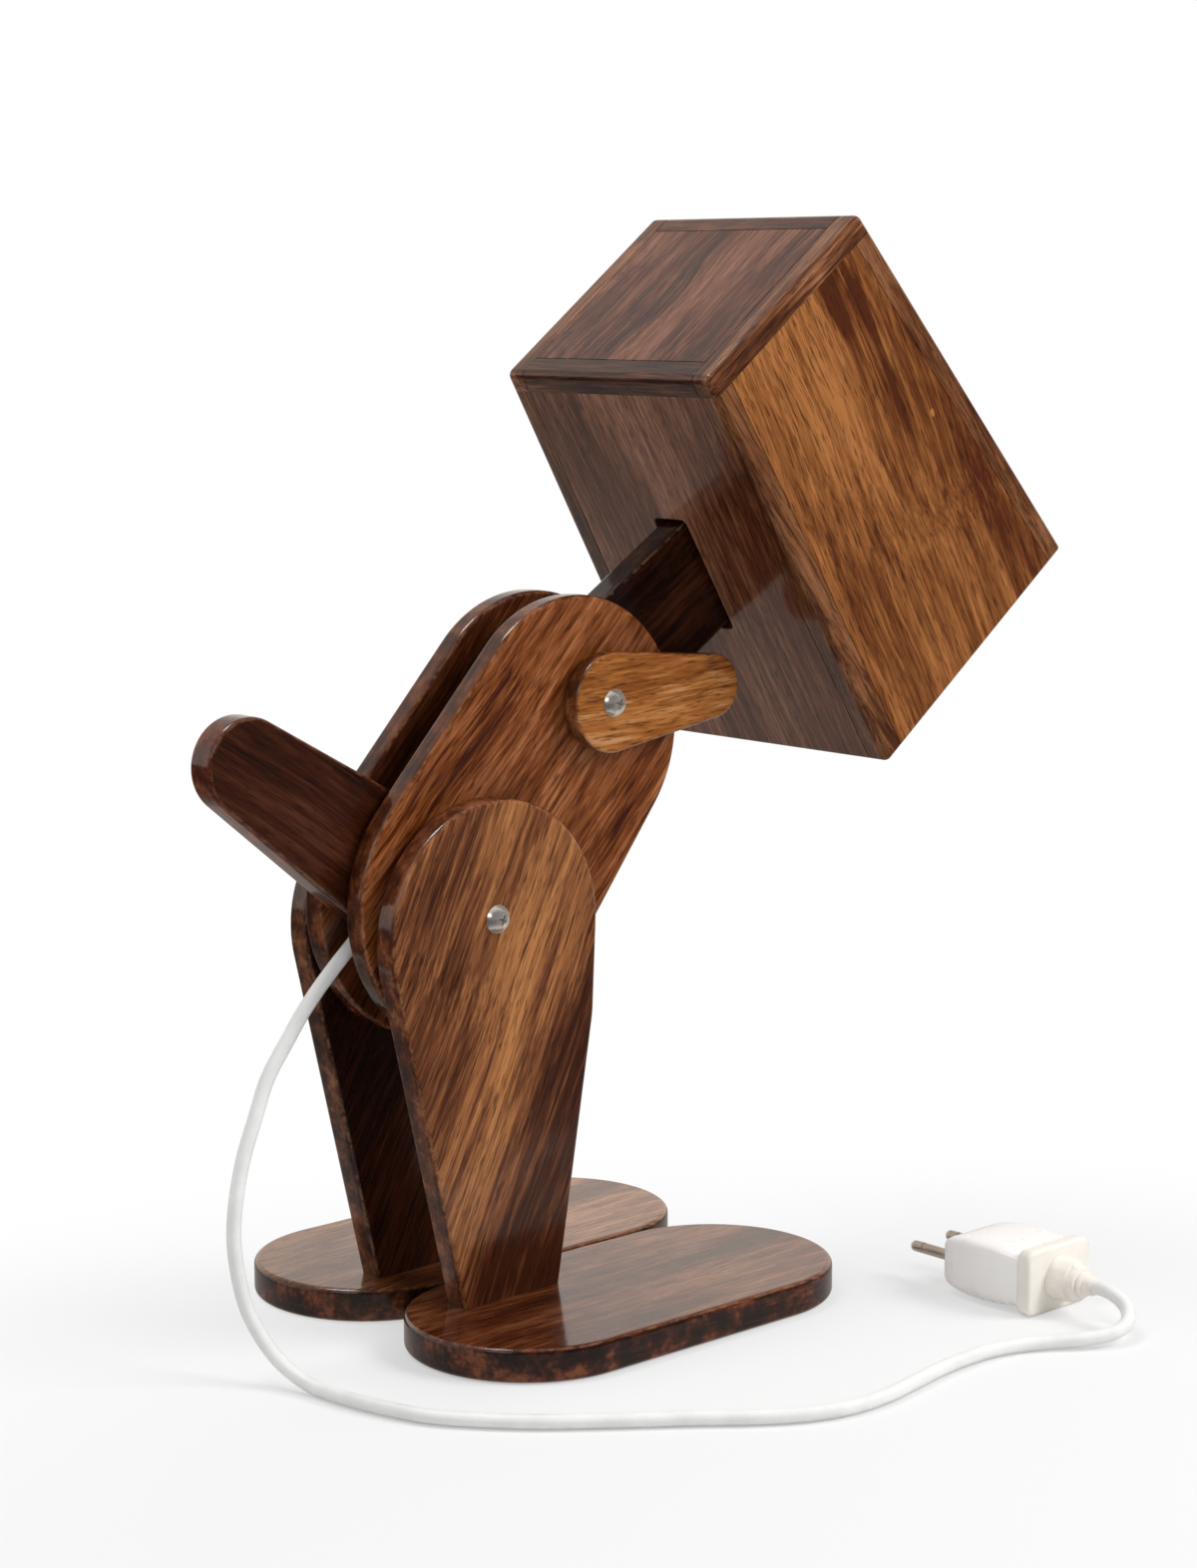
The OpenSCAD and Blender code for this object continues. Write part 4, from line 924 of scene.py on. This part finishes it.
# ---- plug: swollen body, flange and boss where the cord enters, two round pins
plugSetup = {"x": 85.5, "z": 12.0, "back": -138.0, "front": -101.0, "width": 35.0, "height": 22.0,
             # how wide and how high the body is from its flange to its pins, as shares of the full size
             "swell": [(0.92, 0.86), (0.99, 0.97), (1.0, 1.0), (0.99, 0.95), (0.9, 0.74)],
             "flangeBack": -144.0, "flangeWidth": 34.0, "flangeCorner": 4.0, "flangeRounding": 1.6,
             "boss": [(-160, 3.0), (-159.5, 3.3), (-156.6, 3.5), (-156.4, 4.3), (-156.0, 4.6), (-154.9, 4.6),
                      (-154.7, 4.3), (-154.5, 5.7), (-154.1, 6.1), (-151.9, 6.7), (-151.7, 7.1), (-151.2, 7.5),
                      (-144.6, 8.0), (-144.0, 8.0)],
             # four slots round the boss, given by the middle of each, let the cord bend
             "slotPlace": -152.3, "slotReach": 7.2, "slotSize": (2.2, 1.4, 7.0),
             "pinSpacing": 19.0, "pinRadius": 2.0, "pinLength": 19.0, "pinRoot": 2.0,
             # how far behind a pin's tip its groove lies and how deep it is, then how its tip is rounded
             "pinGroove": [(6.6, 0.0), (6.5, 0.25), (6.0, 0.25), (5.9, 0.0)],
             "pinTip": (0.0, 0.3, 0.6, 0.9, 1.2, 1.45), "slitPlace": 2.6, "slitSize": (5.0, 6.0, 0.5),
             "bossFacets": 64, "pinFacets": 32}


def makePlugBody():
    s = plugSetup
    length = s["front"] - s["back"]
    body = addBox(inMetres(s["x"], s["back"] + length / 2, s["z"]), inMetres(s["width"], length, s["height"]))
    body.name = body.data.name = "plugBody"
    startEditing(body)
    bpy.ops.mesh.subdivide(number_cuts=3)
    middle = (mm(s["x"]), 0, mm(s["z"]))
    for step, (wide, high) in enumerate(s["swell"]):
        place = mm(s["back"] + length * step / 4)
        selectEdges(body, lambda edge: all(abs(v.co.y - place) < mm(0.1) for v in edge.verts))
        bpy.ops.transform.resize(value=(wide, 1, high), center_override=middle)
    # the end that meets the flange stays flat and sharp
    selectEdges(body, lambda edge: all(v.co.y < mm(s["back"] + 0.1) for v in edge.verts)
                and len([f for f in edge.link_faces if abs(f.normal.y) > 0.9]) == 1)
    bpy.ops.transform.edge_crease(value=1.0)
    selectNothing()
    useModifier(body, "SUBSURF", levels=3, render_levels=3)
    return finishPiece(body, "right_leg", "plug_white", finishes["plug_white"], "plug_body", smoothAngle=50)


def makePlugFlange():
    s = plugSetup
    corner, half = s["flangeCorner"], s["flangeWidth"] / 2
    rounds = [inMetres(s["x"] + a * (half - corner), s["z"] + b * (s["z"] - corner), corner)
              for a in (-1, 1) for b in (-1, 1)]
    flange = boardFromRounds("plugFlange", rounds, s["back"] - s["flangeBack"],
                             (s["back"] + s["flangeBack"]) / 2, s["flangeRounding"])
    return finishPiece(flange, "right_leg", "plug_cream", finishes["plug_cream"], "plug_cover")


def makePlugBoss():
    s = plugSetup
    boss = turnedPiece("plugBoss", (s["x"], s["z"]), s["boss"], s["bossFacets"])
    for turn in (45, 135, 225, 315):
        x, z = turned(s["slotReach"], 0, turn)
        combine(boss, addBox(inMetres(s["x"] + x, s["slotPlace"], s["z"] + z), inMetres(*s["slotSize"]),
                             (0, -math.radians(turn), 0)))
    return finishPiece(boss, "right_leg", "plug_cream", finishes["plug_cream"], "plug_relief", smoothAngle=35)


def makePlugPin(name, across):
    s, radius = plugSetup, plugSetup["pinRadius"]
    tip = s["front"] + s["pinLength"]
    profile = [(s["front"] - s["pinRoot"], radius)]
    profile += [(tip - behind, radius - depth) for behind, depth in s["pinGroove"]]
    profile += [(tip - radius * (1 - math.sin(turn)), radius * math.cos(turn)) for turn in s["pinTip"]]
    pin = turnedPiece(name, (across, s["z"]), profile, s["pinFacets"])
    # a short slit lets the pin's tip spring
    combine(pin, addBox(inMetres(across, tip - s["slitPlace"], s["z"]), inMetres(*s["slitSize"])))
    return finishPiece(pin, "right_leg", "pin_nickel", finishes["pin_nickel"], "plug_pins", smoothAngle=35)


plugPieces = [makePlugBody(), makePlugFlange(), makePlugBoss(),
              makePlugPin("plugPinRear", plugSetup["x"] - plugSetup["pinSpacing"] / 2),
              makePlugPin("plugPinFront", plugSetup["x"] + plugSetup["pinSpacing"] / 2)]
print("plug modelled")


# ---- what keeps its CAD shape gets its own finish
slotOf = {row["node"]: row["material_slot"] for row in frame["record"]["subparts"]}
for nodeName, node in cadNodes.items():
    material = finishes.get(slotOf[nodeName])
    if material is not None:
        node.data.materials.clear()
        node.data.materials.append(material)
print("finishes given")


# ---- floor, backdrop and light, with lengths in m
stageSetup = {
    "size": 16, "drop": 0.0002,
    # round this middle the floor turns to plain white, from one distance to another
    "middle": (-0.13, -0.24, 0.0), "fadeStart": 0.16, "fadeEnd": 0.46,
    # how much of its nearer part is lit, and how much glows
    "litShare": 0.45, "glowShare": 0.41,
    # in reflections it turns dark from the first y to the second, and from the first x to the second
    "mirrorNear": -0.05, "mirrorFar": -0.32, "mirrorLeft": -0.06, "mirrorEdge": -0.3,
    "mirrorWhite": 0.45, "mirrorDark": 0.08,
    # the walls turn white towards this direction, and the ceiling above them is less so
    "wallAim": (0, 0.8, 0.6), "wallStart": -0.1, "wallEnd": 0.5, "wallWhite": 1.0,
    "ceilingStart": 0.25, "ceilingEnd": 0.65, "ceiling": 0.59, "bounce": 0.8, "skyFill": 0.45,
    "warmth": (1.0, 0.93, 0.86, 1.0)}   # what the lacquer mirrors is a warm white


def byRay(tree, seen, mirrored, other):
    # what the camera sees, what the lacquer mirrors, and what lights the rest
    rays = addNode(tree, "LightPath").outputs
    inMirror = calculate(tree, "MAXIMUM", rays["Is Glossy Ray"], rays["Is Transmission Ray"])
    indirect = addNode(tree, "MixShader", i0=inMirror, i1=other, i2=mirrored).outputs[0]
    return addNode(tree, "MixShader", i0=rays["Is Camera Ray"], i1=indirect, i2=seen).outputs[0]


def glowing(tree, kind, strength, colour=(1, 1, 1, 1)):
    return addNode(tree, kind, Color=colour, Strength=strength).outputs[0]


def makeFloor(setup):
    selectNothing()
    bpy.ops.mesh.primitive_plane_add(size=setup["size"], location=(0.0, 0.0, -setup["drop"]))
    floor = bpy.context.object
    applyPlace()
    floor.name = "floor"
    # White paper sweep: plain matt white, which goes over into the white backdrop
    material, tree, shader = newMaterial("whitePaperSweep")
    place = addNode(tree, "TexCoord").outputs["Object"]
    far = mapRange(tree, vectorMath(tree, "DISTANCE", place, setup["middle"]), setup["fadeStart"],
                   setup["fadeEnd"], smooth=True)
    litPaper = addNode(tree, "BsdfDiffuse", Color=mapRange(tree, far, 0.0, 1.0, setup["litShare"], 0.0))
    glow = glowing(tree, "Emission", mapRange(tree, far, 0.0, 1.0, setup["glowShare"], 1.0))
    seen = addNode(tree, "AddShader", i0=litPaper.outputs[0], i1=glow).outputs[0]
    along = addNode(tree, "SeparateXYZ", Vector=place).outputs
    dark = setup["mirrorDark"]
    back = mapRange(tree, along["Y"], setup["mirrorFar"], setup["mirrorNear"], dark, setup["mirrorWhite"], True)
    aside = mapRange(tree, along["X"], setup["mirrorEdge"], setup["mirrorLeft"], dark, 1.0, True)
    mirrored = glowing(tree, "Emission", calculate(tree, "MULTIPLY", back, aside), setup["warmth"])
    bounce = addNode(tree, "BsdfDiffuse", Color=(setup["bounce"], setup["bounce"], setup["bounce"], 1))
    paper = byRay(tree, seen, mirrored, bounce.outputs[0])
    tree.links.new(paper, tree.nodes["Material Output"].inputs["Surface"])
    tree.nodes.remove(shader)
    floor.data.materials.append(material)


def makeStudio(setup):
    world = bpy.data.worlds.new("studio")
    world.use_nodes = True
    bpy.context.scene.world = world
    tree = world.node_tree
    aim = addNode(tree, "TexCoord").outputs["Generated"]
    # White behind the lamp, less so above it, and dark on the near side
    wall = mapRange(tree, vectorMath(tree, "DOT_PRODUCT", aim, setup["wallAim"]), setup["wallStart"],
                    setup["wallEnd"], setup["mirrorDark"], setup["wallWhite"], True)
    height = addNode(tree, "SeparateXYZ", Vector=aim).outputs["Z"]
    ceiling = mapRange(tree, height, setup["ceilingStart"], setup["ceilingEnd"], 1.0, setup["ceiling"], True)
    mirrored = glowing(tree, "Background", calculate(tree, "MULTIPLY", wall, ceiling), setup["warmth"])
    white, fill = glowing(tree, "Background", 1.0), glowing(tree, "Background", setup["skyFill"])
    studio = byRay(tree, white, mirrored, fill)
    tree.links.new(studio, tree.nodes["World Output"].inputs["Surface"])


# Soft boxes: one at the near right, a small strong one overhead that draws a line along each arris, and
# a weak one at the left. A big lamp would show as a white patch in the lacquer, so that one isn't mirrored
lampSetup = [
    {"name": "mainSoftBox", "place": (0.9, -1.2, 1.25), "size": 0.9, "power": 26.0, "mirrored": False},
    {"name": "topSoftBox", "place": (-0.35, 0.35, 1.6), "size": 0.45, "power": 9.0, "mirrored": True},
    {"name": "leftSoftBox", "place": (-1.3, -0.5, 0.9), "size": 0.6, "power": 2.0, "mirrored": True}]
lampAim = Vector((0.0, 0.0, 0.18))


def makeLamps():
    for lamp in lampSetup:
        data = bpy.data.lights.new(lamp["name"], "AREA")
        data.shape, data.size, data.energy = "SQUARE", lamp["size"], lamp["power"]
        holder = addObject(lamp["name"], data)
        holder.location = lamp["place"]
        holder.rotation_mode = "QUATERNION"
        holder.rotation_quaternion = (lampAim - Vector(lamp["place"])).to_track_quat("-Z", "Y")
        holder.visible_glossy = lamp["mirrored"]


makeFloor(stageSetup)
makeStudio(stageSetup)
makeLamps()
bpy.context.scene.view_settings.view_transform = "Standard"
print("stage lit")
